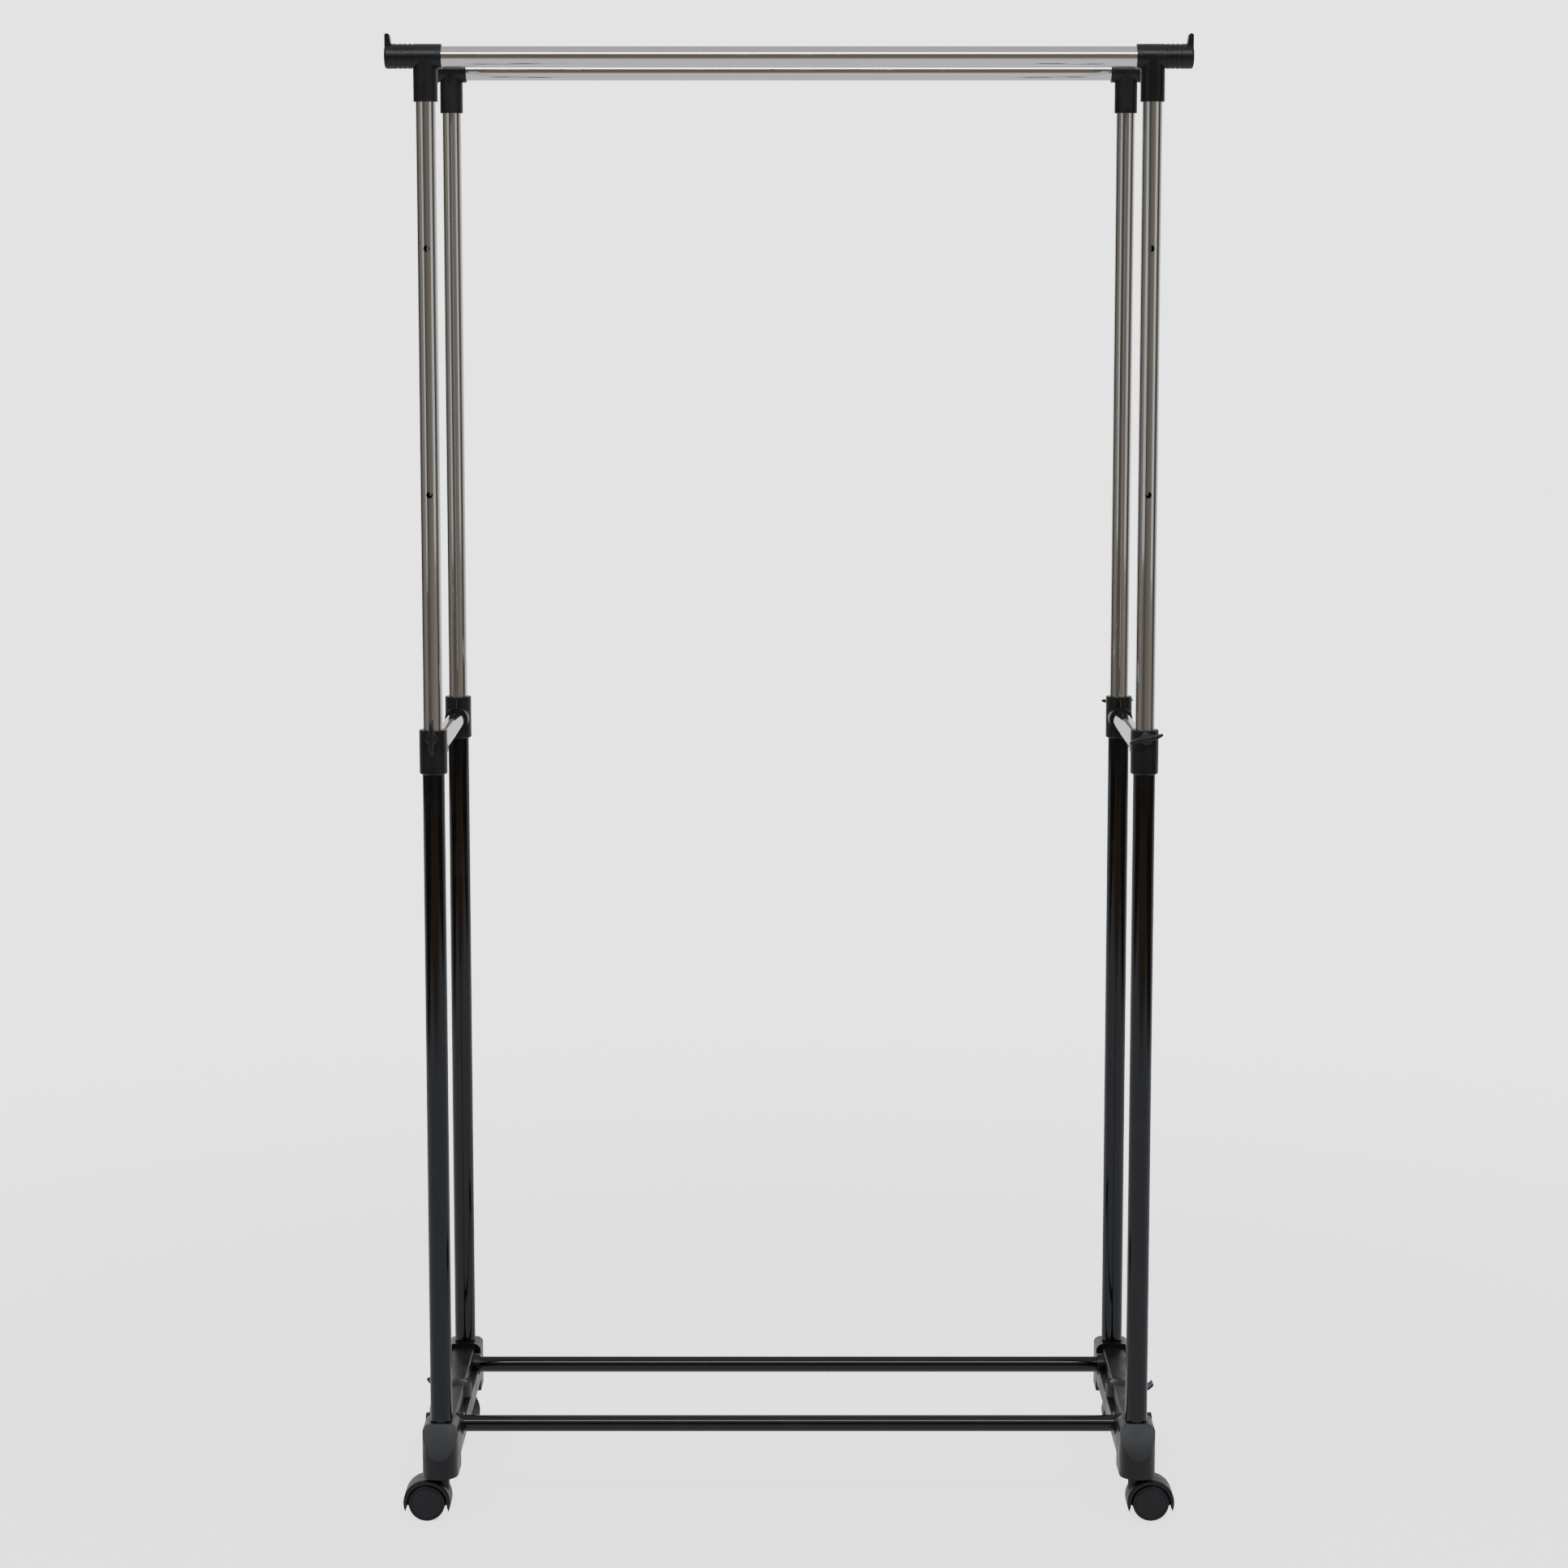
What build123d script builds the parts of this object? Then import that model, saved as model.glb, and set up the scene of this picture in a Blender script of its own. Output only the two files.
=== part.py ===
"""Rolling clothes rack with two hanging rails that telescope up and down on their own.

Millimetres. The origin is on the floor in the middle of the rack, +Z is up, the front is -Y
and the rails run along X. Each sub-part is one STEP file in parts/.

"Corner" means one of the four uprights. A corner is named by its two signs: side_x is -1 on
the left and +1 on the right, side_y is -1 at the front and +1 at the rear.
"""

import math
import os

from build123d import *

# ---------------------------------------------------------------- driving dimensions
UPRIGHT_X = 397.0          # upright axes, either side of the middle
UPRIGHT_Y = 158.0
RUNNING_FIT = 0.05         # radial clearance of a sliding or turning fit

LOWER_DIAMETER = 25.0      # lower uprights
LOWER_WALL = 1.0
UPPER_DIAMETER = 22.0      # upper uprights, hanging rails and cross tubes
UPPER_WALL = 0.8
BAR_DIAMETER = 19.0        # bottom bars
BAR_WALL = 1.0

FOOT_BOTTOM = 55.0         # underside of the feet's end blocks
FOOT_TOP = 114.0
FOOT_WIDTH = 41.0
BLOCK_OUTWARD = 37.0       # block length from the upright axis to its rounded end
BLOCK_INWARD = 20.0
SOCKET_FLOOR = 80.0        # the lower upright stands on this
BEAM_BOTTOM = 70.0         # the beam between a foot's two blocks
DECK_TOP = 93.0
RIDGE_TOP = 109.5
RIDGE_WIDTH = 26.0
BAR_Y = 114.0              # bottom bars, either side of the middle
BAR_Z = 96.0
BAR_BOSS_RADIUS = 12.8
BAR_BOSS_REACH = 21.8      # boss face to the foot's middle
BAR_SEAT = 3.0             # bar end to the foot's middle
BOLT_RADIUS = 2.45         # foot bolts, M5
BOLT_HEAD_RADIUS = 5.6
BOLT_HEAD_HEIGHT = 4.6
BOLT_RECESS = 7.0          # depth of the head's recess in the foot
HUB_RADIUS = 21.0
HUB_TOP = 109.0
HUB_CAP_RADIUS = 16.0
HUB_CAP_SEAT = 107.0
HUB_CAP_TOP = 112.5
SKIN = 2.8                 # wall of the hollow mouldings

COLLAR_RADIUS = 15.75
COLLAR_BOTTOM = 860.0
COLLAR_TOP = 910.0
LOWER_TOP = 893.0          # top end of the lower upright, inside the collar
CROSS_Z = 885.0            # cross tube axis
CROSS_SOCKET_RADIUS = 14.0
CROSS_SOCKET_REACH = 32.0  # socket mouth from the upright axis
CROSS_SEAT = 17.0          # cross tube end from the upright axis
RIB_THICKNESS = 1.6

SCREW_Z = 902.0            # wing screws
SCREW_RADIUS = 3.0         # M6
NUT_ACROSS_FLATS = 10.0
NUT_INNER = 11.4           # nut faces, from the upright axis
NUT_OUTER = 14.6
SCREW_PAD = 16.0           # flat pad on the collar
WING_BASE = 16.4           # wing hub faces, from the upright axis
WING_END = 26.6
WING_HUB_RADIUS = 7.0
WING_REACH = 17.4
WING_BACK = 17.6
WING_ROOT_RADIUS = 3.1
WING_TIP_RADIUS = 2.1
WING_SWEEP = 1.2           # sideways sweep of a blade's tip

UPPER_BOTTOM = 844.0       # upper upright ends
UPPER_TOP = 1637.0
HOLE_RADIUS = 3.5
HOLE_PITCH = 270.0         # height steps
HOLE_COUNT = 3
GLIDE_LENGTH = 8.0
GLIDE_SPIGOT = 16.0

RAIL_Z = 1650.0
RAIL_END = 40.0            # rail end beyond the upright axis
TEE_RADIUS = 13.65
TEE_LEG_RADIUS = 13.5
TEE_LEG_BOTTOM = 1601.0
TEE_OUTWARD = 44.0
TEE_INWARD = 18.0
TEE_GROOVES = (13.6, 19.0, 24.4, 29.8)
GROOVE_WIDTH = 1.4
GROOVE_DEPTH = 0.75
HOOK_RISE = 11.0
HOOK_THICKNESS = 6.6
HOOK_WIDTH = 15.0

WHEEL_RADIUS = 21.0
WHEEL_OFFSET = 16.5        # wheel axis behind the stem axis
WHEEL_INNER = 5.0          # wheel faces, from the castor's middle plane
WHEEL_OUTER = 18.3
HOOD_RADIUS = 27.0
HOOD_HALF_WIDTH = 17.4
WELL_RADIUS = 23.0
WELL_DROP = 1.2            # the wheel well's centre lies this far below the axle
WEB_HALF_WIDTH = 4.0
NECK_RADIUS = 8.6
NECK_TOP = 54.5
STEM_RADIUS = 4.0
STEM_BOTTOM = 37.0
STEM_TOP = 77.0
AXLE_RADIUS = 2.0
AXLE_HALF_LENGTH = 16.0
LEVER_PIN = (27.0, 47.5)   # brake lever pivot: behind the stem axis, above the floor
LEVER_HALF_WIDTH = 9.4

SIDES = {"left": -1, "right": 1}
ENDS = {"front": -1, "rear": 1}
WING_ANGLES = {             # how far each wing screw is turned from upright, in degrees
    ("left", "front"): 3,
    ("right", "front"): 81,
    ("left", "rear"): 8,
    ("right", "rear"): 97,
}

CASTOR_TURNS = {(-1, 1): 28.0}  # the rear left castor stands turned towards the rear, in degrees

os.makedirs("parts", exist_ok=True)


# ---------------------------------------------------------------- planes at a corner
def level(side_x, side_y, height):
    """Level plane on an upright's axis, its local +Y pointing to the middle of the foot."""
    origin = (side_x * UPRIGHT_X, side_y * UPRIGHT_Y, height)
    return Plane(origin=origin, x_dir=(-side_y, 0, 0), z_dir=(0, 0, 1))


def facing(side_x, side_y, inward, height):
    """Upright plane across the foot's length, its normal pointing inwards and local +Y up."""
    origin = (side_x * UPRIGHT_X, side_y * (UPRIGHT_Y - inward), height)
    return Plane(origin=origin, x_dir=(side_y, 0, 0), z_dir=(0, -side_y, 0))


def profile(side_x, side_y):
    """Upright plane along the foot: local X is the distance inwards, local Y the height."""
    origin = (side_x * UPRIGHT_X, side_y * UPRIGHT_Y, 0)
    return Plane(origin=origin, x_dir=(0, -side_y, 0), z_dir=(-side_y, 0, 0))


def across(side_x, y, outward, height):
    """Upright plane across X at a distance outside the upright axis, its normal inwards."""
    origin = (side_x * (UPRIGHT_X + outward), y, height)
    return Plane(origin=origin, x_dir=(0, -side_x, 0), z_dir=(-side_x, 0, 0))


def trail_direction(side_x, side_y):
    """Level direction from a castor's stem to its wheels: outwards, turned towards the end."""
    turn = math.radians(CASTOR_TURNS.get((side_x, side_y), 0.0))
    return (side_x * math.cos(turn), side_y * math.sin(turn), 0)


def trailing(side_x, side_y):
    """A castor's middle plane: local X is the distance behind the stem, local Y the height."""
    x_dir = trail_direction(side_x, side_y)
    origin = (side_x * UPRIGHT_X, side_y * UPRIGHT_Y, 0)
    return Plane(origin=origin, x_dir=x_dir, z_dir=(x_dir[1], -x_dir[0], 0))


def castor_level(side_x, side_y, height, distance=0.0):
    """Level plane a distance behind a castor's stem, its local +X pointing to the wheels."""
    x_dir = trail_direction(side_x, side_y)
    x = side_x * UPRIGHT_X + distance * x_dir[0]
    y = side_y * UPRIGHT_Y + distance * x_dir[1]
    return Plane(origin=(x, y, height), x_dir=x_dir, z_dir=(0, 0, 1))


def write(piece, name):
    """Label a finished sub-part and write its STEP file."""
    piece.part.label = name
    export_step(piece.part, f"parts/{name}.step")


def make_tube(plane, diameter, wall, length):
    """Round tube drawn on a plane and pushed along the plane's normal."""
    with BuildPart() as tube:
        with BuildSketch(plane):
            Circle(diameter / 2)
            Circle(diameter / 2 - wall, mode=Mode.SUBTRACT)
        extrude(amount=length)
    return tube


# ---------------------------------------------------------------- feet
def block_plan(inset=0.0):
    """Plan of an end block about the upright axis: straight sides and a half-round outer end."""
    radius = FOOT_WIDTH / 2
    end_centre = -(BLOCK_OUTWARD - radius)
    with BuildLine() as plan:
        Line((-radius + inset, end_centre), (-radius + inset, BLOCK_INWARD - inset))
        Line((-radius + inset, BLOCK_INWARD - inset), (radius - inset, BLOCK_INWARD - inset))
        Line((radius - inset, BLOCK_INWARD - inset), (radius - inset, end_centre))
        tip = (0, end_centre - radius + inset)
        ThreePointArc((radius - inset, end_centre), tip, (-radius + inset, end_centre))
    return plan.edges()


def make_foot(side_x):
    """One foot: two end blocks with a scooped front, joined by a ridged and ribbed beam."""
    half = FOOT_WIDTH / 2
    x_middle = side_x * UPRIGHT_X
    beam_half_length = UPRIGHT_Y - BLOCK_INWARD + 1.0
    with BuildPart() as foot:
        # End blocks with rounded shoulders.
        for side_y in ENDS.values():
            with BuildSketch(level(side_x, side_y, FOOT_BOTTOM)):
                make_face(block_plan())
            extrude(amount=FOOT_TOP - FOOT_BOTTOM)
        shoulders = foot.edges().filter_by(Plane.XY).group_by(Axis.Z)[-1]
        shoulders = shoulders.filter_by(Axis.X, reverse=True)
        fillet(shoulders, radius=8.5)

        # The scoop in each outer end, from the upright's base down to half the block's height.
        for side_y in ENDS.values():
            with BuildSketch(profile(side_x, side_y)):
                with BuildLine():
                    top = (-14.0, FOOT_TOP + 0.5)
                    tip = (-BLOCK_OUTWARD - 0.5, 76.0)
                    ThreePointArc(top, (-24.5, 98.5), tip)
                    Polyline(tip, (-BLOCK_OUTWARD - 6.0, 76.0), (-BLOCK_OUTWARD - 6.0, FOOT_TOP + 6.0))
                    Polyline((-BLOCK_OUTWARD - 6.0, FOOT_TOP + 6.0), (-14.0, FOOT_TOP + 6.0), top)
                make_face()
            extrude(amount=half + 1.0, both=True, mode=Mode.SUBTRACT)

        # The beam: a wide deck with a ridge along it.
        with BuildSketch(Plane(origin=(x_middle, 0, 0), x_dir=(1, 0, 0), z_dir=(0, -1, 0))):
            with Locations((0, (BEAM_BOTTOM + DECK_TOP) / 2)):
                Rectangle(FOOT_WIDTH, DECK_TOP - BEAM_BOTTOM)
            with Locations((0, (BEAM_BOTTOM + RIDGE_TOP) / 2)):
                RectangleRounded(RIDGE_WIDTH, RIDGE_TOP - BEAM_BOTTOM, 1.6)
        extrude(amount=beam_half_length, both=True)

        # The round hub in the middle, and a boss through the beam for each bar.
        with BuildSketch(Plane.XY.offset(BEAM_BOTTOM)):
            with Locations((x_middle, 0)):
                Circle(HUB_RADIUS)
        extrude(amount=HUB_TOP - BEAM_BOTTOM)
        for side_y in ENDS.values():
            with BuildSketch(Plane.YZ.offset(x_middle)):
                with Locations((side_y * BAR_Y, BAR_Z)):
                    Circle(BAR_BOSS_RADIUS)
            extrude(amount=BAR_BOSS_REACH, both=True)

        # Hollows under the beam, with the ribs left standing between them.
        for y_pocket in (-80.0, -44.0, 44.0, 80.0):
            with BuildSketch(Plane.XY.offset(BEAM_BOTTOM)):
                with Locations((x_middle, y_pocket)):
                    Rectangle(FOOT_WIDTH - 2 * SKIN, 34.0)
            extrude(amount=DECK_TOP - BEAM_BOTTOM - SKIN, mode=Mode.SUBTRACT)
            with BuildSketch(Plane.XY.offset(BEAM_BOTTOM)):
                with Locations((x_middle, y_pocket)):
                    Rectangle(RIDGE_WIDTH - 2 * SKIN, 34.0)
            extrude(amount=RIDGE_TOP - BEAM_BOTTOM - SKIN, mode=Mode.SUBTRACT)
        with BuildSketch(Plane.XY.offset(BEAM_BOTTOM)):
            with Locations((x_middle, 0)):
                Circle(HUB_RADIUS - 2 * SKIN)
        extrude(amount=20.0, mode=Mode.SUBTRACT)
        with BuildSketch(Plane.XY.offset(HUB_CAP_SEAT)):
            with Locations((x_middle, 0)):
                Circle(HUB_CAP_RADIUS + RUNNING_FIT)
        extrude(amount=HUB_TOP, mode=Mode.SUBTRACT)

        for side_y in ENDS.values():
            # Hollow underside of the block around the castor boss.
            with BuildSketch(level(side_x, side_y, FOOT_BOTTOM)):
                make_face(block_plan(SKIN))
                Circle(9.0, mode=Mode.SUBTRACT)
            extrude(amount=20.0, mode=Mode.SUBTRACT)
            # Castor bore below, upright socket above.
            with BuildSketch(level(side_x, side_y, FOOT_BOTTOM)):
                Circle(STEM_RADIUS + RUNNING_FIT)
            extrude(amount=STEM_TOP + 0.5 - FOOT_BOTTOM, mode=Mode.SUBTRACT)
            with BuildSketch(level(side_x, side_y, SOCKET_FLOOR)):
                Circle(LOWER_DIAMETER / 2 + RUNNING_FIT)
            extrude(amount=FOOT_TOP, mode=Mode.SUBTRACT)
            # Bar seat on the inner side, bolt hole and head recess on the outer side.
            with BuildSketch(across(side_x, side_y * BAR_Y, -BAR_SEAT, BAR_Z)):
                Circle(BAR_DIAMETER / 2 + RUNNING_FIT)
            extrude(amount=BAR_BOSS_REACH, mode=Mode.SUBTRACT)
            with BuildSketch(across(side_x, side_y * BAR_Y, BAR_BOSS_REACH, BAR_Z)):
                Circle(BOLT_RADIUS + 0.15)
            extrude(amount=BAR_BOSS_REACH + BAR_SEAT, mode=Mode.SUBTRACT)
            with BuildSketch(across(side_x, side_y * BAR_Y, BAR_BOSS_REACH, BAR_Z)):
                Circle(BOLT_HEAD_RADIUS + 0.6)
            extrude(amount=BOLT_RECESS, mode=Mode.SUBTRACT)
    return foot


for side, side_x in SIDES.items():
    write(make_foot(side_x), f"{side}_foot")

with BuildPart() as hub_caps:
    for side_x in SIDES.values():
        with BuildSketch(Plane.XY.offset(HUB_CAP_SEAT)):
            with Locations((side_x * UPRIGHT_X, 0)):
                Circle(HUB_CAP_RADIUS)
        extrude(amount=HUB_CAP_TOP - HUB_CAP_SEAT)
    # A shallow dome that leaves a rim just above the hub.
    dome_rise = HUB_CAP_TOP - HUB_TOP - 0.4
    dome_radius = (HUB_CAP_RADIUS**2 + dome_rise**2) / (2 * dome_rise)
    with Locations(*[(side_x * UPRIGHT_X, 0, HUB_CAP_TOP - dome_radius) for side_x in SIDES.values()]):
        Sphere(dome_radius, mode=Mode.INTERSECT)
write(hub_caps, "foot_hub_caps")

# ---------------------------------------------------------------- bottom bars
bar_length = 2 * (UPRIGHT_X - BAR_SEAT)
bar_bore = BAR_DIAMETER / 2 - BAR_WALL
for end, side_y in ENDS.items():
    bar_plane = Plane(origin=(-bar_length / 2, side_y * BAR_Y, BAR_Z), x_dir=(0, 1, 0), z_dir=(1, 0, 0))
    write(make_tube(bar_plane, BAR_DIAMETER, BAR_WALL, bar_length), f"{end}_bottom_bar")

with BuildPart() as bar_plugs:
    for side_x in SIDES.values():
        for side_y in ENDS.values():
            with BuildSketch(across(side_x, side_y * BAR_Y, -BAR_SEAT, BAR_Z)):
                Circle(bar_bore - 0.02)
                Circle(2.5, mode=Mode.SUBTRACT)
            extrude(amount=22.0)
write(bar_plugs, "bottom_bar_plugs")

with BuildPart() as foot_bolts:
    for side_x in SIDES.values():
        for side_y in ENDS.values():
            head_seat = BAR_BOSS_REACH - BOLT_RECESS
            with BuildSketch(across(side_x, side_y * BAR_Y, head_seat, BAR_Z)):
                Circle(BOLT_RADIUS)
            extrude(amount=head_seat + BAR_SEAT + 18.0)
            with BuildSketch(across(side_x, side_y * BAR_Y, head_seat, BAR_Z)):
                Circle(BOLT_HEAD_RADIUS)
            extrude(amount=-BOLT_HEAD_HEIGHT)
            with BuildSketch(across(side_x, side_y * BAR_Y, head_seat + BOLT_HEAD_HEIGHT, BAR_Z)):
                RegularPolygon(radius=2.3, side_count=6)
            extrude(amount=2.6, mode=Mode.SUBTRACT)
write(foot_bolts, "foot_bolts")


# ---------------------------------------------------------------- uprights and collars
def make_collar(side_x, side_y):
    """Sleeve on top of a lower upright: guides the upper one, takes the cross tube and the screw."""
    with BuildPart() as collar:
        with BuildSketch(level(side_x, side_y, COLLAR_BOTTOM)):
            Circle(COLLAR_RADIUS)
        extrude(amount=COLLAR_TOP - COLLAR_BOTTOM)
        chamfer(collar.edges().group_by(Axis.Z)[0], length=1.4)
        fillet(collar.edges().group_by(Axis.Z)[-1], radius=0.9)

        with BuildSketch(facing(side_x, side_y, 10.0, CROSS_Z)):
            Circle(CROSS_SOCKET_RADIUS)
        extrude(amount=CROSS_SOCKET_REACH - 10.0)
        with BuildSketch(facing(side_x, side_y, -SCREW_PAD, SCREW_Z)):
            Circle(7.6)
        extrude(amount=8.0)

        # Thin rib from the top of the socket to the sleeve.
        rib_foot = CROSS_Z + CROSS_SOCKET_RADIUS - 1.0
        rib_end = CROSS_SOCKET_REACH - 3.0
        rib_top = COLLAR_TOP - 2.0
        with BuildSketch(profile(side_x, side_y)):
            with BuildLine():
                Polyline((12.5, rib_foot), (rib_end, rib_foot), (rib_end, rib_foot + 1.6))
                Polyline((rib_end, rib_foot + 1.6), (15.9, rib_top), (12.5, rib_top), (12.5, rib_foot))
            make_face()
        extrude(amount=RIB_THICKNESS / 2, both=True)

        with BuildSketch(level(side_x, side_y, COLLAR_BOTTOM)):
            Circle(LOWER_DIAMETER / 2 + RUNNING_FIT)
        extrude(amount=LOWER_TOP - COLLAR_BOTTOM, mode=Mode.SUBTRACT)
        with BuildSketch(level(side_x, side_y, COLLAR_BOTTOM)):
            Circle(UPPER_DIAMETER / 2 + RUNNING_FIT)
        extrude(amount=COLLAR_TOP - COLLAR_BOTTOM, mode=Mode.SUBTRACT)
        with BuildSketch(facing(side_x, side_y, CROSS_SEAT, CROSS_Z)):
            Circle(UPPER_DIAMETER / 2 + RUNNING_FIT)
        extrude(amount=CROSS_SOCKET_REACH, mode=Mode.SUBTRACT)
        with BuildSketch(facing(side_x, side_y, -SCREW_PAD, SCREW_Z)):
            Circle(SCREW_RADIUS + RUNNING_FIT)
        extrude(amount=7.0, mode=Mode.SUBTRACT)
        with BuildSketch(facing(side_x, side_y, -NUT_OUTER, SCREW_Z)):
            RegularPolygon(radius=NUT_ACROSS_FLATS / 2 + RUNNING_FIT, side_count=6, major_radius=False)
        extrude(amount=6.0, mode=Mode.SUBTRACT)
    return collar


def make_upper_upright(side_x, side_y):
    """Upper upright with its row of locking holes, in the outward wall only."""
    with BuildPart() as upright:
        with BuildSketch(level(side_x, side_y, UPPER_BOTTOM)):
            Circle(UPPER_DIAMETER / 2)
            Circle(UPPER_DIAMETER / 2 - UPPER_WALL, mode=Mode.SUBTRACT)
        extrude(amount=UPPER_TOP - UPPER_BOTTOM)
        for step in range(HOLE_COUNT):
            with BuildSketch(facing(side_x, side_y, 0.0, SCREW_Z + step * HOLE_PITCH)):
                Circle(HOLE_RADIUS)
            extrude(amount=-UPPER_DIAMETER, mode=Mode.SUBTRACT)
    return upright


def polar_point(radius, degrees, offset):
    """Point along a direction measured from straight up, moved sideways by an offset."""
    angle = math.radians(degrees)
    across_x = math.cos(angle) * offset
    across_y = math.sin(angle) * offset
    return (across_x - radius * math.sin(angle), across_y + radius * math.cos(angle))


def make_wing(side_x, side_y, angle):
    """Wing of a clamping screw: domed hub, two tapered blades and a blind bore for the stud."""
    with BuildPart() as wing:
        with BuildSketch(facing(side_x, side_y, -WING_BASE, SCREW_Z)):
            Circle(WING_HUB_RADIUS)
        extrude(amount=WING_BASE - WING_END)
        rims = wing.edges().filter_by(GeomType.CIRCLE).sort_by(Axis.Y)
        fillet(rims[-1] if side_y > 0 else rims[0], radius=4.2)
        for turn in (0, 180):
            with BuildSketch(facing(side_x, side_y, -WING_BACK, SCREW_Z)):
                with Locations(polar_point(2.0, angle + turn, 0.0)):
                    Circle(WING_ROOT_RADIUS)
                with Locations(polar_point(WING_REACH, angle + turn, WING_SWEEP)):
                    Circle(WING_TIP_RADIUS)
                make_hull()
            extrude(amount=WING_BACK - WING_END + 1.2)
        with BuildSketch(facing(side_x, side_y, -WING_BASE, SCREW_Z)):
            Circle(SCREW_RADIUS + RUNNING_FIT)
        extrude(amount=-7.0, mode=Mode.SUBTRACT)
    return wing


for (side, end), angle in WING_ANGLES.items():
    side_x = SIDES[side]
    side_y = ENDS[end]
    corner = f"{end}_{side}"
    lower_plane = level(side_x, side_y, SOCKET_FLOOR)
    lower_tube = make_tube(lower_plane, LOWER_DIAMETER, LOWER_WALL, LOWER_TOP - SOCKET_FLOOR)
    write(lower_tube, f"{corner}_lower_upright")
    write(make_collar(side_x, side_y), f"{corner}_collar")
    write(make_upper_upright(side_x, side_y), f"{corner}_upper_upright")
    write(make_wing(side_x, side_y, angle), f"{corner}_wing")
    with BuildPart() as stud:
        with BuildSketch(facing(side_x, side_y, -(UPPER_DIAMETER / 2 + 0.3), SCREW_Z)):
            Circle(SCREW_RADIUS)
        extrude(amount=-(WING_BASE + 6.6 - UPPER_DIAMETER / 2 - 0.3))
        chamfer(stud.edges().filter_by(GeomType.CIRCLE), length=0.5)
    write(stud, f"{corner}_stud")

with BuildPart() as collar_nuts:
    for side_x in SIDES.values():
        for side_y in ENDS.values():
            with BuildSketch(facing(side_x, side_y, -NUT_OUTER, SCREW_Z)):
                RegularPolygon(radius=NUT_ACROSS_FLATS / 2, side_count=6, major_radius=False)
                Circle(SCREW_RADIUS + RUNNING_FIT, mode=Mode.SUBTRACT)
            extrude(amount=NUT_OUTER - NUT_INNER)
write(collar_nuts, "collar_nuts")

for side, side_x in SIDES.items():
    cross_plane = facing(side_x, -1, CROSS_SEAT, CROSS_Z)
    cross_length = 2 * (UPRIGHT_Y - CROSS_SEAT)
    write(make_tube(cross_plane, UPPER_DIAMETER, UPPER_WALL, cross_length), f"{side}_cross_tube")

for end, side_y in ENDS.items():
    with BuildPart() as glides:
        for side_x in SIDES.values():
            with BuildSketch(level(side_x, side_y, UPPER_BOTTOM - GLIDE_LENGTH)):
                Circle(LOWER_DIAMETER / 2 - LOWER_WALL - RUNNING_FIT)
                Circle(8.0, mode=Mode.SUBTRACT)
            extrude(amount=GLIDE_LENGTH)
            with BuildSketch(level(side_x, side_y, UPPER_BOTTOM)):
                Circle(UPPER_DIAMETER / 2 - UPPER_WALL - 0.02)
                Circle(8.0, mode=Mode.SUBTRACT)
            extrude(amount=GLIDE_SPIGOT)
    write(glides, f"{end}_upright_glides")


# ---------------------------------------------------------------- hanging rails
def make_tee(side_x, side_y):
    """Corner connector: a ribbed barrel along the rail, a leg on the upright and an end hook."""
    y = side_y * UPRIGHT_Y
    length = TEE_OUTWARD + TEE_INWARD
    with BuildPart() as tee:
        with BuildSketch(across(side_x, y, TEE_OUTWARD, RAIL_Z)):
            Circle(TEE_RADIUS)
        extrude(amount=length)
        end_edges = tee.edges().filter_by(GeomType.CIRCLE).sort_by(Axis.X)
        fillet(end_edges[-1] if side_x > 0 else end_edges[0], radius=3.0)

        with BuildSketch(level(side_x, side_y, TEE_LEG_BOTTOM)):
            Circle(TEE_LEG_RADIUS)
        extrude(amount=RAIL_Z - TEE_LEG_BOTTOM)

        # Grip grooves round the outer half of the barrel.
        for groove in TEE_GROOVES:
            with BuildSketch(across(side_x, y, groove + GROOVE_WIDTH / 2, RAIL_Z)):
                Circle(TEE_RADIUS + 1.0)
                Circle(TEE_RADIUS - GROOVE_DEPTH, mode=Mode.SUBTRACT)
            extrude(amount=GROOVE_WIDTH, mode=Mode.SUBTRACT)

        # The end hook that keeps hangers on.
        base = RAIL_Z + 8.0
        top = RAIL_Z + TEE_RADIUS + HOOK_RISE
        outer = UPRIGHT_X + TEE_OUTWARD - 0.3
        hook_plane = Plane(origin=(0, y, 0), x_dir=(side_x, 0, 0), z_dir=(0, -side_x, 0))
        with BuildSketch(hook_plane):
            with BuildLine():
                Line((outer, base), (outer, top - 3.2))
                ThreePointArc((outer, top - 3.2), (outer - 2.7, top), (outer - 5.4, top - 2.6))
                Line((outer - 5.4, top - 2.6), (outer - HOOK_THICKNESS, base + 6.4))
                Line((outer - HOOK_THICKNESS, base + 6.4), (outer - HOOK_THICKNESS - 2.0, base))
                Line((outer - HOOK_THICKNESS - 2.0, base), (outer, base))
            make_face()
        extrude(amount=HOOK_WIDTH / 2, both=True)
        with BuildSketch(across(side_x, y, RAIL_END, RAIL_Z)):
            Circle(UPPER_DIAMETER / 2 + RUNNING_FIT)
        extrude(amount=length, mode=Mode.SUBTRACT)
        with BuildSketch(level(side_x, side_y, TEE_LEG_BOTTOM)):
            Circle(UPPER_DIAMETER / 2 + RUNNING_FIT)
        extrude(amount=UPPER_TOP - TEE_LEG_BOTTOM, mode=Mode.SUBTRACT)
    return tee


for end, side_y in ENDS.items():
    rail_length = 2 * (UPRIGHT_X + RAIL_END)
    rail_plane = across(1, side_y * UPRIGHT_Y, RAIL_END, RAIL_Z)
    write(make_tube(rail_plane, UPPER_DIAMETER, UPPER_WALL, rail_length), f"{end}_hanging_rail")
    for side, side_x in SIDES.items():
        write(make_tee(side_x, side_y), f"{end}_{side}_tee")


# ---------------------------------------------------------------- castors
def on_circle(radius, degrees):
    """Point at a radius and an angle from the axle, in the castor's middle plane."""
    angle = math.radians(degrees)
    return (WHEEL_OFFSET + radius * math.cos(angle), WHEEL_RADIUS + radius * math.sin(angle))


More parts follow.
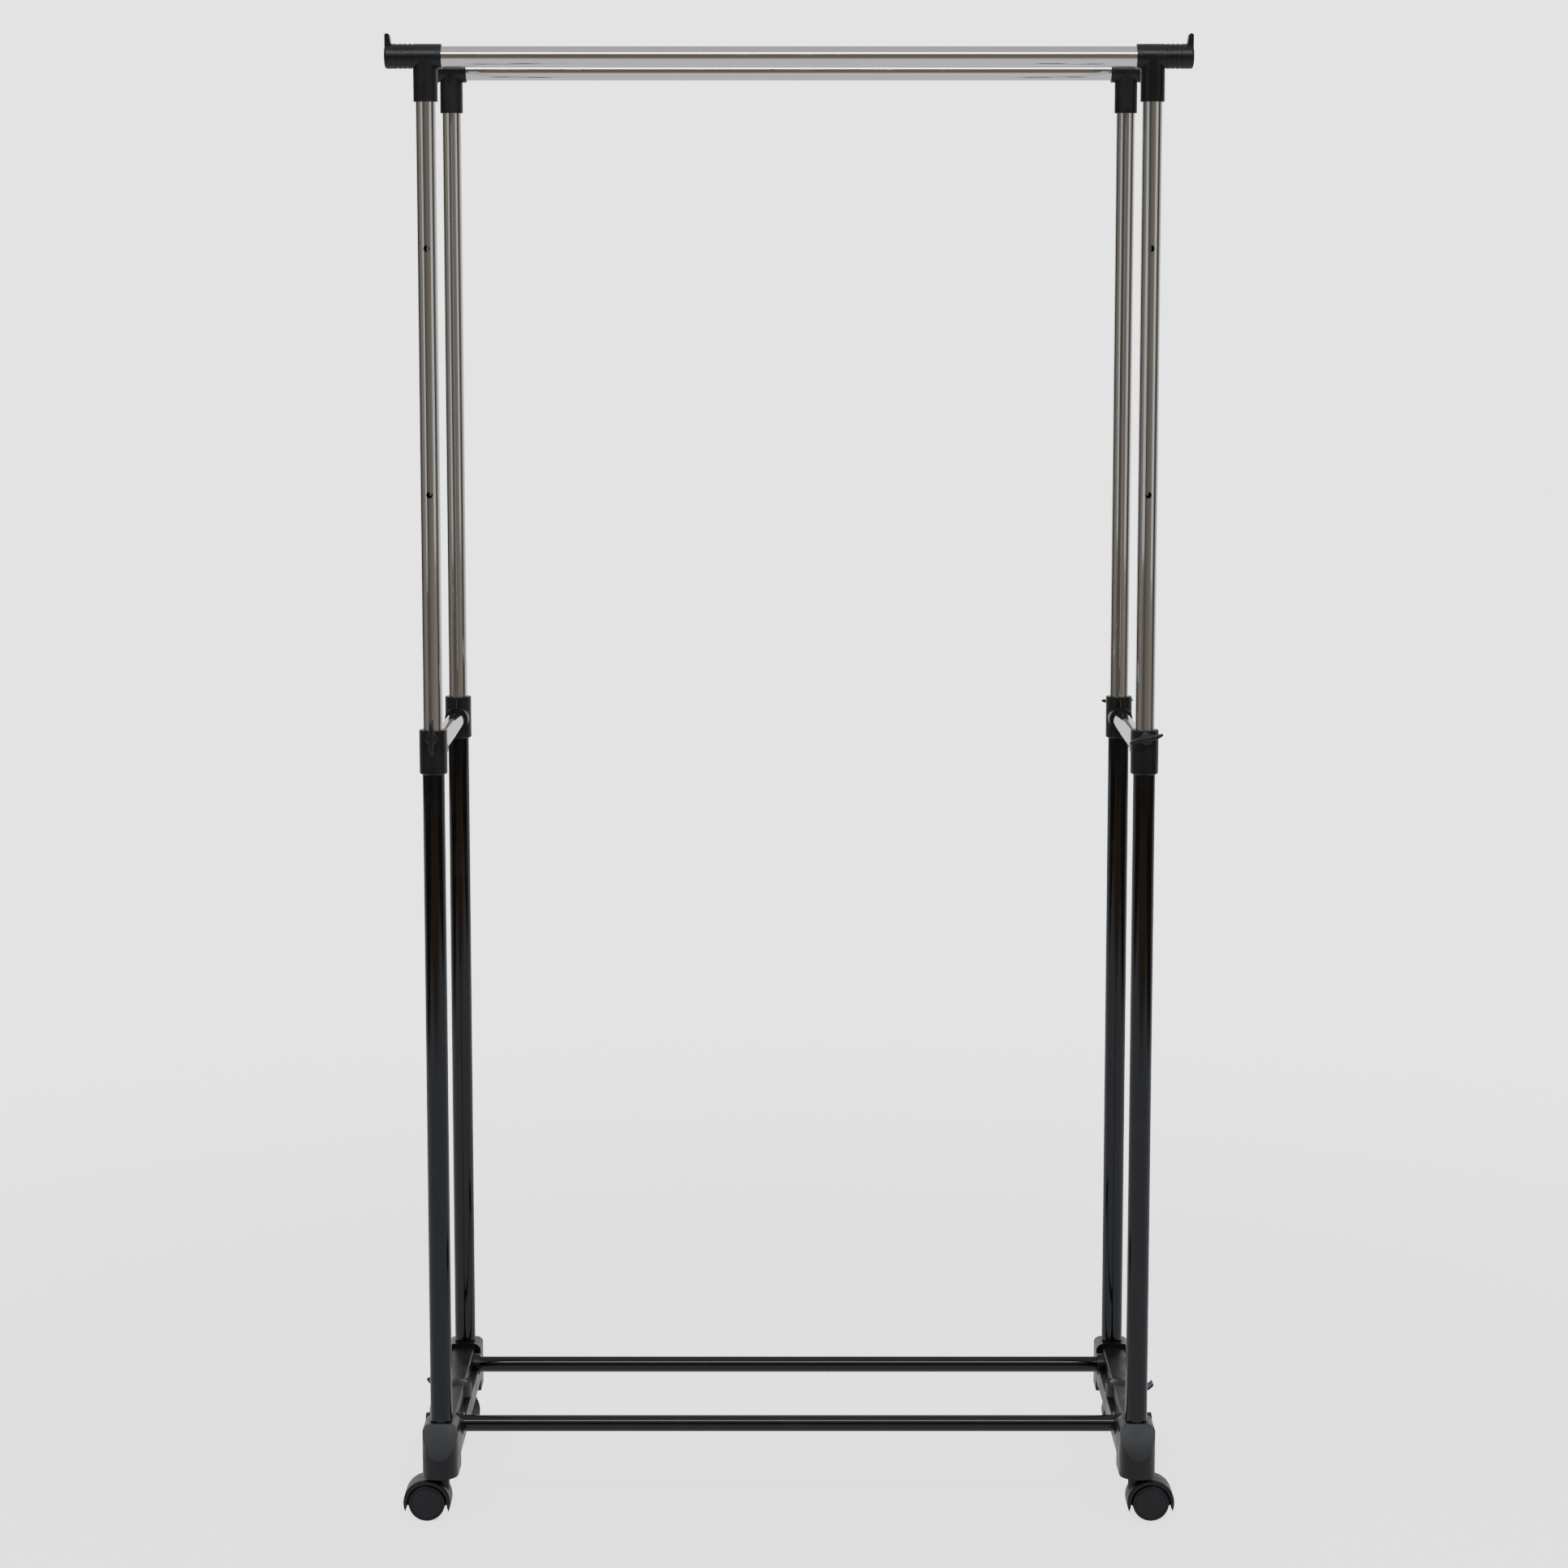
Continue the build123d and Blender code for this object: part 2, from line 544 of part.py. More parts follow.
def make_castor_housing(side_x, side_y, braked):
    """Hood over both wheels, with a web between them, the stem's neck and the lever's lugs."""
    centre = (WHEEL_OFFSET, WHEEL_RADIUS)
    well = (WHEEL_OFFSET, WHEEL_RADIUS - WELL_DROP)
    with BuildPart() as housing:
        with BuildSketch(trailing(side_x, side_y)):
            with Locations(centre):
                Circle(HOOD_RADIUS)
        extrude(amount=HOOD_HALF_WIDTH, both=True)
        fillet(housing.edges().filter_by(GeomType.CIRCLE), radius=2.4)
        # Trim the lower half so that the hood ends in two pointed tips.
        with BuildSketch(trailing(side_x, side_y)):
            with BuildLine():
                Polyline(on_circle(21.0, 0), on_circle(HOOD_RADIUS + 0.6, -24), on_circle(60, -50),
                         on_circle(60, -130), on_circle(HOOD_RADIUS + 0.6, -156), on_circle(21.0, 180),
                         close=True)
            make_face()
        extrude(amount=HOOD_HALF_WIDTH + 1.0, both=True, mode=Mode.SUBTRACT)
        with BuildSketch(level(side_x, side_y, 30.0)):
            Circle(NECK_RADIUS)
        extrude(amount=NECK_TOP - 30.0)
        with BuildSketch(trailing(side_x, side_y)):
            with Locations(well):
                Circle(WELL_RADIUS)
        extrude(amount=HOOD_HALF_WIDTH + 1.0, both=True, mode=Mode.SUBTRACT)

        # Web and axle hub between the wheels.
        with BuildSketch(trailing(side_x, side_y)):
            with Locations(well):
                Circle(WELL_RADIUS + 0.6)
            with Locations((WHEEL_OFFSET, -6.0)):
                Rectangle(4 * WHEEL_RADIUS, 40.0, mode=Mode.SUBTRACT)
            with Locations(centre):
                Circle(7.5)
        extrude(amount=WEB_HALF_WIDTH, both=True)

        if braked:
            for lug_side in (-1, 1):
                lug_plane = trailing(side_x, side_y).offset(lug_side * 11.3)
                with BuildSketch(lug_plane):
                    with Locations(LEVER_PIN):
                        Circle(3.0)
                    with Locations(on_circle(25.0, 58), on_circle(25.0, 76)):
                        Circle(1.6)
                    make_hull()
                extrude(amount=1.4, both=True)
            with BuildSketch(castor_level(side_x, side_y, 37.0, 28.4)):
                Rectangle(11.6, 2 * LEVER_HALF_WIDTH + 0.7)
            extrude(amount=30.0, mode=Mode.SUBTRACT)
            with BuildSketch(trailing(side_x, side_y)):
                with Locations(LEVER_PIN):
                    Circle(1.5 + RUNNING_FIT)
            extrude(amount=20.0, both=True, mode=Mode.SUBTRACT)

        with BuildSketch(level(side_x, side_y, STEM_BOTTOM)):
            Circle(STEM_RADIUS)
        extrude(amount=NECK_TOP, mode=Mode.SUBTRACT)
        with BuildSketch(trailing(side_x, side_y)):
            with Locations(centre):
                Circle(AXLE_RADIUS)
        extrude(amount=20.0, both=True, mode=Mode.SUBTRACT)
    return housing


def make_wheel(side_x, side_y, hand):
    """One wheel of a pair: closed dished face outside, hub and rim open towards the web."""
    axle_plane = castor_level(side_x, side_y, WHEEL_RADIUS, WHEEL_OFFSET)
    hand = side_x * hand
    inner = hand * WHEEL_INNER
    floor = hand * (WHEEL_OUTER - 2.6)
    face = hand * WHEEL_OUTER
    groove = hand * (WHEEL_OUTER - 0.6)
    bore = AXLE_RADIUS + RUNNING_FIT
    with BuildPart() as wheel:
        with BuildSketch(axle_plane):
            with BuildLine():
                Polyline((0, face), (16.9, face), (17.2, groove), (17.9, groove), (18.2, face), (19.2, face))
                Line((19.2, face), (WHEEL_RADIUS, face - hand * 1.8))
                Polyline((WHEEL_RADIUS, face - hand * 1.8), (WHEEL_RADIUS, inner + hand * 0.8))
                Polyline((WHEEL_RADIUS, inner + hand * 0.8), (WHEEL_RADIUS - 0.8, inner), (18.2, inner))
                Polyline((18.2, inner), (18.2, floor), (5.2, floor), (5.2, inner), (bore, inner))
                Polyline((bore, inner), (bore, hand * 16.4), (0, hand * 16.4), (0, face))
            make_face()
        revolve(axis=Axis(axle_plane.origin, axle_plane.y_dir))
    return wheel


def make_lever(side_x, side_y):
    """Brake lever: an upturned toe plate, its trunnions, and a shoe above the two treads."""
    pin_x, pin_z = LEVER_PIN
    with BuildPart() as lever:
        with BuildSketch(trailing(side_x, side_y)):
            with BuildLine():
                Line((pin_x - 1.0, pin_z + 2.2), (36.0, 53.2))
                ThreePointArc((36.0, 53.2), (44.2, 55.0), (50.4, 60.0))
                Line((50.4, 60.0), (51.8, 58.4))
                ThreePointArc((51.8, 58.4), (45.4, 52.2), (36.0, 49.6))
                Line((36.0, 49.6), (pin_x + 1.6, pin_z - 1.8))
                Line((pin_x + 1.6, pin_z - 1.8), (pin_x - 1.0, pin_z + 2.2))
            make_face()
            with Locations(LEVER_PIN):
                Circle(2.4)
            Polygon((25.2, 46.5), (29.4, 46.5), (31.4, 41.4), (29.7, 39.8), (26.8, 41.6), align=None)
        extrude(amount=LEVER_HALF_WIDTH, both=True)
        with BuildSketch(trailing(side_x, side_y)):
            with Locations(LEVER_PIN):
                Circle(1.5)
        extrude(amount=12.4, both=True)
    return lever


for (side, end) in WING_ANGLES:
    side_x = SIDES[side]
    side_y = ENDS[end]
    corner = f"{end}_{side}"
    write(make_castor_housing(side_x, side_y, end == "rear"), f"{corner}_castor_housing")
    with BuildPart() as stem:
        with BuildSketch(level(side_x, side_y, STEM_BOTTOM)):
            Circle(STEM_RADIUS)
        extrude(amount=STEM_TOP - STEM_BOTTOM)
        chamfer(stem.edges().filter_by(GeomType.CIRCLE).sort_by(Axis.Z)[-1], length=0.8)
    write(stem, f"{corner}_castor_stem")
    with BuildPart() as axle:
        with BuildSketch(trailing(side_x, side_y)):
            with Locations((WHEEL_OFFSET, WHEEL_RADIUS)):
                Circle(AXLE_RADIUS)
        extrude(amount=AXLE_HALF_LENGTH, both=True)
    write(axle, f"{corner}_castor_axle")
    write(make_wheel(side_x, side_y, -1), f"{corner}_wheel_front")
    write(make_wheel(side_x, side_y, 1), f"{corner}_wheel_back")
    if end == "rear":
        write(make_lever(side_x, side_y), f"{corner}_brake_lever")
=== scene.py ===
"""Looks of the rolling clothes rack.

Finishes for the moulded, enamelled and chromed parts, close-up wing screws, threaded studs and
castor wheels, and a pale studio round the rack. Metres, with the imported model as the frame.
"""

import math

import bpy
import numpy as np
from bpy.props import FloatProperty, FloatVectorProperty, IntProperty, PointerProperty
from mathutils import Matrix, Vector


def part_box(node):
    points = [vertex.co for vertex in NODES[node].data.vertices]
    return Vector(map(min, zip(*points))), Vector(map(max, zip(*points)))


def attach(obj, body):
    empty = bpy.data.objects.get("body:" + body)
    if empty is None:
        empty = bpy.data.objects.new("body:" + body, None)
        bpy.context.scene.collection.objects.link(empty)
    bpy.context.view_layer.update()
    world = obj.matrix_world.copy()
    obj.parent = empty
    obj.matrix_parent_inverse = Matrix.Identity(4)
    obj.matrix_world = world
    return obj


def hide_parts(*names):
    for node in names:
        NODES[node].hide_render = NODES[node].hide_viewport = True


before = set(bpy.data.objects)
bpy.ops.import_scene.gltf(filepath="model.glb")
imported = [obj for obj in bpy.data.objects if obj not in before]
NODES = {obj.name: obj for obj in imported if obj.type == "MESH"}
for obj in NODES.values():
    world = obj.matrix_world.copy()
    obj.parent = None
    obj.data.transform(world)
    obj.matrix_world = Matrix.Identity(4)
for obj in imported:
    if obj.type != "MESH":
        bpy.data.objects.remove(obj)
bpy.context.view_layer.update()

bl_info = {
    "name": "Rolling Clothes Rack",
    "version": (1, 0, 0),
    "blender": (4, 5, 0),
    "location": "3D View > Sidebar > Clothes Rack",
    "description": "Finishes, fittings and studio for a rolling clothes rack with two rails",
    "category": "Object",
}

CORNERS = [f"{end}_{side}" for end in ("front", "rear") for side in ("left", "right")]


def middle(node):
    """Middle of a CAD node's box."""
    low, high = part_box(node)
    return (low + high) / 2


def reach(node, axis):
    """Length of a CAD node's box along an axis."""
    low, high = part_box(node)
    return high[axis] - low[axis]


WHEEL_RADIUS = reach("front_left_wheel_front", 2) / 2
WHEEL_WIDTH = reach("front_left_wheel_front", 1)
STUD_RADIUS = reach("front_left_stud", 2) / 2
WING_DEPTH = reach("front_left_wing", 1)

# How far each wing screw is turned from upright, in degrees.
WING_TURNS = {"front_left": 3.0, "front_right": 81.0, "rear_left": 8.0, "rear_right": 97.0}

# Tones of the made-up studio that the rack reflects.
WHITE_PAPER = (1.0, 1.0, 1.0)
SET_EDGE = (0.02, 0.02, 0.02)
LIT_WALL = (0.25, 0.22, 0.18)
SHADED_WALL = (0.07, 0.07, 0.07)
BROWN_WALL = (0.16, 0.14, 0.12)

# Where each tone stands round the horizon, as a bearing in degrees from behind the rack round by its
# left, the camera and its right.
ROOM_TONES = [
    (-180, WHITE_PAPER),
    (-145, WHITE_PAPER),
    (-130, SET_EDGE),
    (-70, LIT_WALL),
    (-30, SHADED_WALL),
    (0, BROWN_WALL),
    (60, LIT_WALL),
    (90, SET_EDGE),
    (140, WHITE_PAPER),
    (180, WHITE_PAPER),
]


# ------------------------------------------------------------------ node trees
def add_node(tree, kind, inputs=None, **settings):
    """Adds a shader node. Each input takes another node's output or a plain value."""
    made = tree.nodes.new("ShaderNode" + kind)
    for name, value in settings.items():
        setattr(made, name, value)
    for name, value in (inputs or {}).items():
        if isinstance(value, bpy.types.NodeSocket):
            tree.links.new(value, made.inputs[name])
        else:
            made.inputs[name].default_value = value
    return made


def calculate(tree, operation, first, second=0.0, third=0.0):
    """One Math node, and its output."""
    return add_node(tree, "Math", {0: first, 1: second, 2: third}, operation=operation).outputs[0]


def spread(tree, value, low, high, to_low=0.0, to_high=1.0):
    """A smooth step from one range to another."""
    inputs = {"Value": value, 1: low, 2: high, 3: to_low, 4: to_high}
    return add_node(tree, "MapRange", inputs, interpolation_type="SMOOTHSTEP").outputs[0]


def mix_colours(tree, factor, first, second, blend="MIX"):
    """Colour mix, and its output."""
    inputs = {0: factor, 6: first, 7: second}
    return add_node(tree, "Mix", inputs, data_type="RGBA", blend_type=blend).outputs[2]


def noise(tree, vector, scale, detail=2.0, roughness=0.5):
    """Height of a noise texture."""
    inputs = {"Vector": vector, "Scale": scale, "Detail": detail, "Roughness": roughness}
    return add_node(tree, "TexNoise", inputs).outputs[0]


def new_group(name, inputs, outputs):
    """An empty shader node group with named sockets: its tree, its inputs and its output node."""
    tree = bpy.data.node_groups.new(name, "ShaderNodeTree")
    for label, (kind, value) in inputs.items():
        socket = tree.interface.new_socket(label, in_out="INPUT", socket_type="NodeSocket" + kind)
        if value is not None:
            socket.default_value = value
    for label, kind in outputs.items():
        tree.interface.new_socket(label, in_out="OUTPUT", socket_type="NodeSocket" + kind)
    entry = tree.nodes.new("NodeGroupInput")
    return tree, entry.outputs, tree.nodes.new("NodeGroupOutput")


def use_group(tree, group, inputs):
    """Places a node group in a material with its own values, and gives its outputs."""
    made = tree.nodes.new("ShaderNodeGroup")
    made.node_tree = group
    for name, value in inputs.items():
        if isinstance(value, bpy.types.NodeSocket):
            tree.links.new(value, made.inputs[name])
        else:
            made.inputs[name].default_value = value
    return made.outputs


def grain_group():
    """Spark-eroded grain of a moulded part: fine pits over a slow ripple, and a cloudy tone."""
    tree, given, out = new_group(
        "Moulding Grain",
        {"Vector": ("Vector", None), "Grain Size": ("Float", 0.0006), "Ripple Size": ("Float", 0.012)},
        {"Height": "Float", "Tone": "Float"},
    )
    fine = calculate(tree, "DIVIDE", 1.0, given["Grain Size"])
    slow = calculate(tree, "DIVIDE", 1.0, given["Ripple Size"])
    pits = add_node(tree, "TexVoronoi", {"Vector": given["Vector"], "Scale": fine}, feature="SMOOTH_F1")
    ripple = noise(tree, given["Vector"], slow)
    height = calculate(tree, "MULTIPLY_ADD", ripple, 1.4, pits.outputs["Distance"])
    tree.links.new(height, out.inputs["Height"])
    cloudy = noise(tree, given["Vector"], calculate(tree, "MULTIPLY", slow, 0.35), 4.0, 0.6)
    tree.links.new(spread(tree, cloudy, 0.3, 0.7), out.inputs["Tone"])
    return tree


def wear_group():
    """Rubbed edges: where a rounded copy of the surface turns away from it, broken up by noise."""
    tree, given, out = new_group(
        "Rubbed Edges",
        {"Vector": ("Vector", None), "Width": ("Float", 0.0008), "Amount": ("Float", 0.5)},
        {"Mask": "Float"},
    )
    rounded = add_node(tree, "Bevel", {"Radius": given["Width"]}, samples=4)
    true_normal = add_node(tree, "NewGeometry").outputs["Normal"]
    dot = add_node(
        tree, "VectorMath", {0: rounded.outputs[0], 1: true_normal}, operation="DOT_PRODUCT"
    ).outputs["Value"]
    turned = spread(tree, dot, 0.985, 0.80)
    broken = spread(tree, noise(tree, given["Vector"], 140.0, 5.0, 0.65), 0.38, 0.62)
    mask = calculate(tree, "MULTIPLY", calculate(tree, "MULTIPLY", turned, broken), given["Amount"])
    tree.links.new(mask, out.inputs["Mask"])
    return tree


def dust_group():
    """Dust that settles on faces turned up, in soft drifts."""
    tree, given, out = new_group(
        "Settled Dust",
        {"Vector": ("Vector", None), "Amount": ("Float", 0.2)},
        {"Mask": "Float"},
    )
    normal = add_node(tree, "NewGeometry").outputs["Normal"]
    up = add_node(tree, "SeparateXYZ", {0: normal}).outputs["Z"]
    lying = spread(tree, up, 0.35, 1.0)
    drifts = spread(tree, noise(tree, given["Vector"], 55.0, 6.0, 0.7), 0.35, 0.75)
    mask = calculate(tree, "MULTIPLY", calculate(tree, "MULTIPLY", lying, drifts), given["Amount"])
    tree.links.new(mask, out.inputs["Mask"])
    return tree


def drawn_group():
    """Lines that drawing and polishing leave along a tube: noise stretched along it."""
    tree, given, out = new_group(
        "Drawn Lines",
        {"Vector": ("Vector", None), "Squeeze": ("Vector", (1.0, 1.0, 0.004)), "Scale": ("Float", 900.0)},
        {"Lines": "Float", "Bands": "Float"},
    )
    squeezed = add_node(
        tree, "VectorMath", {0: given["Vector"], 1: given["Squeeze"]}, operation="MULTIPLY"
    ).outputs[0]
    tree.links.new(noise(tree, squeezed, given["Scale"], 3.0, 0.6), out.inputs["Lines"])
    broad = calculate(tree, "MULTIPLY", given["Scale"], 0.22)
    tree.links.new(noise(tree, squeezed, broad, 2.0, 0.5), out.inputs["Bands"])
    return tree


def smudge_group():
    """Marks of hands and cloths: patches of dulled gloss with a fine speckle in them."""
    tree, given, out = new_group(
        "Hand Smudges",
        {"Vector": ("Vector", None), "Size": ("Float", 0.05), "Amount": ("Float", 0.5)},
        {"Mask": "Float"},
    )
    scale = calculate(tree, "DIVIDE", 1.0, given["Size"])
    patches = spread(tree, noise(tree, given["Vector"], scale, 4.0, 0.62), 0.48, 0.68)
    speckle = spread(tree, noise(tree, given["Vector"], 650.0, 2.0), 0.2, 0.7, 0.45, 1.0)
    mask = calculate(tree, "MULTIPLY", calculate(tree, "MULTIPLY", patches, speckle), given["Amount"])
    tree.links.new(mask, out.inputs["Mask"])
    return tree


def group_named(name):
    """The shared effect of that name, built the first time that it is asked for."""
    makers = {
        "Moulding Grain": grain_group,
        "Rubbed Edges": wear_group,
        "Settled Dust": dust_group,
        "Drawn Lines": drawn_group,
        "Hand Smudges": smudge_group,
    }
    return bpy.data.node_groups.get(name) or makers[name]()


def new_material(name):
    """A material with one Principled shader: its tree, that shader and its object coordinates."""
    made = bpy.data.materials.new(name)
    made.use_nodes = True
    tree = made.node_tree
    shader = tree.nodes["Principled BSDF"]
    place = tree.nodes.new("ShaderNodeTexCoord").outputs["Object"]
    return made, tree, shader, place


# ------------------------------------------------------------------ finishes
def moulded_finish(name, colour, roughness, grain_size, grain_depth, wear, dust):
    """Matte moulded plastic: grained, a little cloudy, rubbed at its edges and faintly dusty."""
    made, tree, shader, place = new_material(name)
    grain = use_group(tree, group_named("Moulding Grain"), {"Vector": place, "Grain Size": grain_size})
    edges = use_group(tree, group_named("Rubbed Edges"), {"Vector": place, "Amount": wear})
    drifts = use_group(tree, group_named("Settled Dust"), {"Vector": place, "Amount": dust})
    base = tuple(colour) + (1.0,)
    lighter = tuple(min(1.0, 1.35 * part + 0.001) for part in colour) + (1.0,)
    rubbed = tuple(min(1.0, 2.2 * part + 0.010) for part in colour) + (1.0,)
    cloudy = mix_colours(tree, grain["Tone"], base, lighter)
    worn = mix_colours(tree, edges["Mask"], cloudy, rubbed)
    dusty = mix_colours(tree, drifts["Mask"], worn, (0.30, 0.28, 0.25, 1.0))
    tree.links.new(dusty, shader.inputs["Base Color"])
    low = roughness - 0.06
    uneven = spread(tree, grain["Tone"], 0.0, 1.0, low, roughness + 0.06)
    polished = calculate(tree, "MULTIPLY_ADD", edges["Mask"], -0.14, uneven)
    tree.links.new(polished, shader.inputs["Roughness"])
    shader.inputs["Specular IOR Level"].default_value = 0.40
    shader.inputs["Specular Tint"].default_value = (0.92, 0.95, 1.0, 1.0)
    bump = add_node(tree, "Bump", {"Height": grain["Height"], "Distance": grain_depth, "Strength": 0.6})
    tree.links.new(bump.outputs[0], shader.inputs["Normal"])
    return made


def tube_lines(tree, place, axis):
    """Drawn lines along a tube that runs along an axis."""
    squeeze = [1.0, 1.0, 1.0]
    squeeze[axis] = 0.004
    return use_group(tree, group_named("Drawn Lines"), {"Vector": place, "Squeeze": squeeze})


def chrome_finish(name, axis, settings):
    """Polished chrome on steel tube: fine lines along it, and dulled where hands have been."""
    made, tree, shader, place = new_material(name)
    lines = tube_lines(tree, place, axis)
    smudges = use_group(tree, group_named("Hand Smudges"), {"Vector": place, "Size": 0.045, "Amount": 1.0})
    bright = tuple(settings.chrome_colour) + (1.0,)
    dull = tuple(0.80 * part for part in settings.chrome_colour) + (1.0,)
    streaked = mix_colours(tree, spread(tree, lines["Bands"], 0.35, 0.65, 0.0, 0.5), bright, dull)
    film = tuple(part * tint for part, tint in zip(settings.chrome_colour, (0.80, 0.84, 0.92)))
    filmed = mix_colours(
        tree, calculate(tree, "MULTIPLY", smudges["Mask"], 0.30), streaked, film + (1.0,)
    )
    tree.links.new(filmed, shader.inputs["Base Color"])
    shader.inputs["Metallic"].default_value = 1.0
    rough = settings.chrome_roughness
    lined = spread(tree, lines["Lines"], 0.3, 0.7, 0.7 * rough, 1.5 * rough)
    tree.links.new(
        calculate(tree, "MULTIPLY_ADD", smudges["Mask"], settings.smudge_roughness, lined),
        shader.inputs["Roughness"],
    )
    bump = add_node(tree, "Bump", {"Height": lines["Bands"], "Distance": settings.line_depth})
    tree.links.new(bump.outputs[0], shader.inputs["Normal"])
    return made


def enamel_finish(name, axis, settings):
    """Gloss black enamel: orange peel, a few hairlines along the tube, and settled dust."""
    made, tree, shader, place = new_material(name)
    lines = tube_lines(tree, place, axis)
    smudges = use_group(tree, group_named("Hand Smudges"), {"Vector": place, "Size": 0.06, "Amount": 1.0})
    drifts = use_group(tree, group_named("Settled Dust"), {"Vector": place, "Amount": 0.02})
    base = tuple(settings.enamel_colour) + (1.0,)
    haze = tuple(2.0 * part + 0.002 for part in settings.enamel_colour) + (1.0,)
    hazed = mix_colours(tree, calculate(tree, "MULTIPLY", smudges["Mask"], 0.6), base, haze)
    dusty = mix_colours(tree, drifts["Mask"], hazed, (0.25, 0.24, 0.22, 1.0))
    tree.links.new(dusty, shader.inputs["Base Color"])
    rough = settings.enamel_roughness
    lined = spread(tree, lines["Lines"], 0.35, 0.7, rough, 1.6 * rough)
    tree.links.new(
        calculate(tree, "MULTIPLY_ADD", smudges["Mask"], 0.07, lined), shader.inputs["Roughness"]
    )
    shader.inputs["IOR"].default_value = 1.5
    shader.inputs["Specular Tint"].default_value = (0.88, 0.92, 1.0, 1.0)
    peel = noise(tree, place, 330.0, 2.0)
    mixed = calculate(tree, "MULTIPLY_ADD", lines["Bands"], 0.5, peel)
    bump = add_node(tree, "Bump", {"Height": mixed, "Distance": settings.peel_depth})
    tree.links.new(bump.outputs[0], shader.inputs["Normal"])
    return made


def zinc_finish(name, settings):
    """Zinc-plated steel: spangled in tone, brushed at random and slightly yellowed."""
    made, tree, shader, place = new_material(name)
    spangle = add_node(tree, "TexVoronoi", {"Vector": place, "Scale": 420.0}).outputs["Color"]
    tone = add_node(tree, "SeparateColor", {0: spangle}).outputs[0]
    base = tuple(settings.zinc_colour) + (1.0,)
    yellowed = tuple(p * t for p, t in zip(settings.zinc_colour, (0.92, 0.86, 0.70))) + (1.0,)
    tree.links.new(mix_colours(tree, tone, base, yellowed), shader.inputs["Base Color"])
    shader.inputs["Metallic"].default_value = 1.0
    brushed = noise(tree, place, 1600.0, 3.0)
    tree.links.new(spread(tree, brushed, 0.3, 0.7, 0.28, 0.46), shader.inputs["Roughness"])
    bump = add_node(tree, "Bump", {"Height": brushed, "Distance": 0.00002})
    tree.links.new(bump.outputs[0], shader.inputs["Normal"])
    return made


def dress(material, nodes):
    """Gives CAD nodes a material in every slot."""
    for name in nodes:
        node = NODES[name]
        if not node.material_slots:
            node.data.materials.append(material)
        for place in node.material_slots:
            place.material = material


# ------------------------------------------------------------------ surfaces
def surface_from_rings(name, rings, first_pole, last_pole, sharp_degrees):
    """Mesh object of a closed surface: rings of points joined in order, closed by a pole at each
    end. The faces are turned outwards by the sign of the volume that they enclose."""
    count, around = rings.shape[:2]
    points = np.concatenate([rings.reshape(-1, 3), [first_pole, last_pole]])
    here = np.arange(around)
    after = (here + 1) % around
    row = (np.arange(count - 1) * around)[:, None]
    quads = np.stack([row + here, row + after, row + around + after, row + around + here], -1)
    quads = quads.reshape(-1, 4)
    last = (count - 1) * around
    start = np.full(around, count * around)
    fans = np.concatenate([
        np.stack([start, after, here], -1),
        np.stack([start + 1, last + here, last + after], -1),
    ])
    triangles = np.concatenate([quads[:, [0, 1, 2]], quads[:, [0, 2, 3]], fans])
    corners = points[triangles]
    volume = np.einsum("ij,ij->i", corners[:, 0], np.cross(corners[:, 1], corners[:, 2])).sum()
    if volume < 0:
        quads = quads[:, ::-1]
        fans = fans[:, ::-1]
    mesh = bpy.data.meshes.new(name)
    mesh.from_pydata(points.tolist(), [], quads.tolist() + fans.tolist())
    mesh.shade_smooth()
    mesh.set_sharp_from_angle(angle=math.radians(sharp_degrees))
    made = bpy.data.objects.new(name, mesh)
    bpy.context.scene.collection.objects.link(made)
    return made


def rounded_profile(points, steps=7):
    """Profile of (radius, position, corner rounding) with each corner swapped for a curve.

    A rounded corner runs from one side to the other as (1-t)^2 A + 2t(1-t) B + t^2 C, where B is
    the corner and A and C lie on its sides, the rounding away from it."""
    given = np.array(points, float)
    places = given[:, :2]
    t = np.linspace(0.0, 1.0, steps)[:, None]
    out = [places[:1]]
    for before, corner, after, rounding in zip(places, places[1:], places[2:], given[1:-1, 2]):
        if rounding == 0.0:
            out.append(corner[None])
            continue
        start = corner + (before - corner) * (rounding / np.linalg.norm(before - corner))
        end = corner + (after - corner) * (rounding / np.linalg.norm(after - corner))
        out.append((1 - t) ** 2 * start + 2 * t * (1 - t) * corner + t**2 * end)
    out.append(places[-1:])
    return np.concatenate(out)


def turned_rings(profile, around):
    """Rings of a turned shape: at angle a, (radius sin a, position, radius cos a)."""
    a = np.linspace(0.0, 2 * math.pi, around, endpoint=False)[None, :]
    radius = profile[:, 0][:, None]
    along = np.broadcast_to(profile[:, 1][:, None], (len(profile), around))
    return np.stack([radius * np.sin(a), along, radius * np.cos(a)], -1)


def blade_outline(settings):
    """Angles round a wing screw's axis, and the radius of the blades' outline at each.

    The outline is a long thin superellipse, |cos a / length|^q + |sin a / width|^q = 1."""
    a = np.linspace(0.0, 2 * math.pi, 6000, endpoint=False)
    length = settings.blade_reach
    width = settings.blade_half_width
    blade = (np.abs(np.cos(a) / length) ** 2.6 + np.abs(np.sin(a) / width) ** 2.6) ** (-1 / 2.6)
    return a, blade


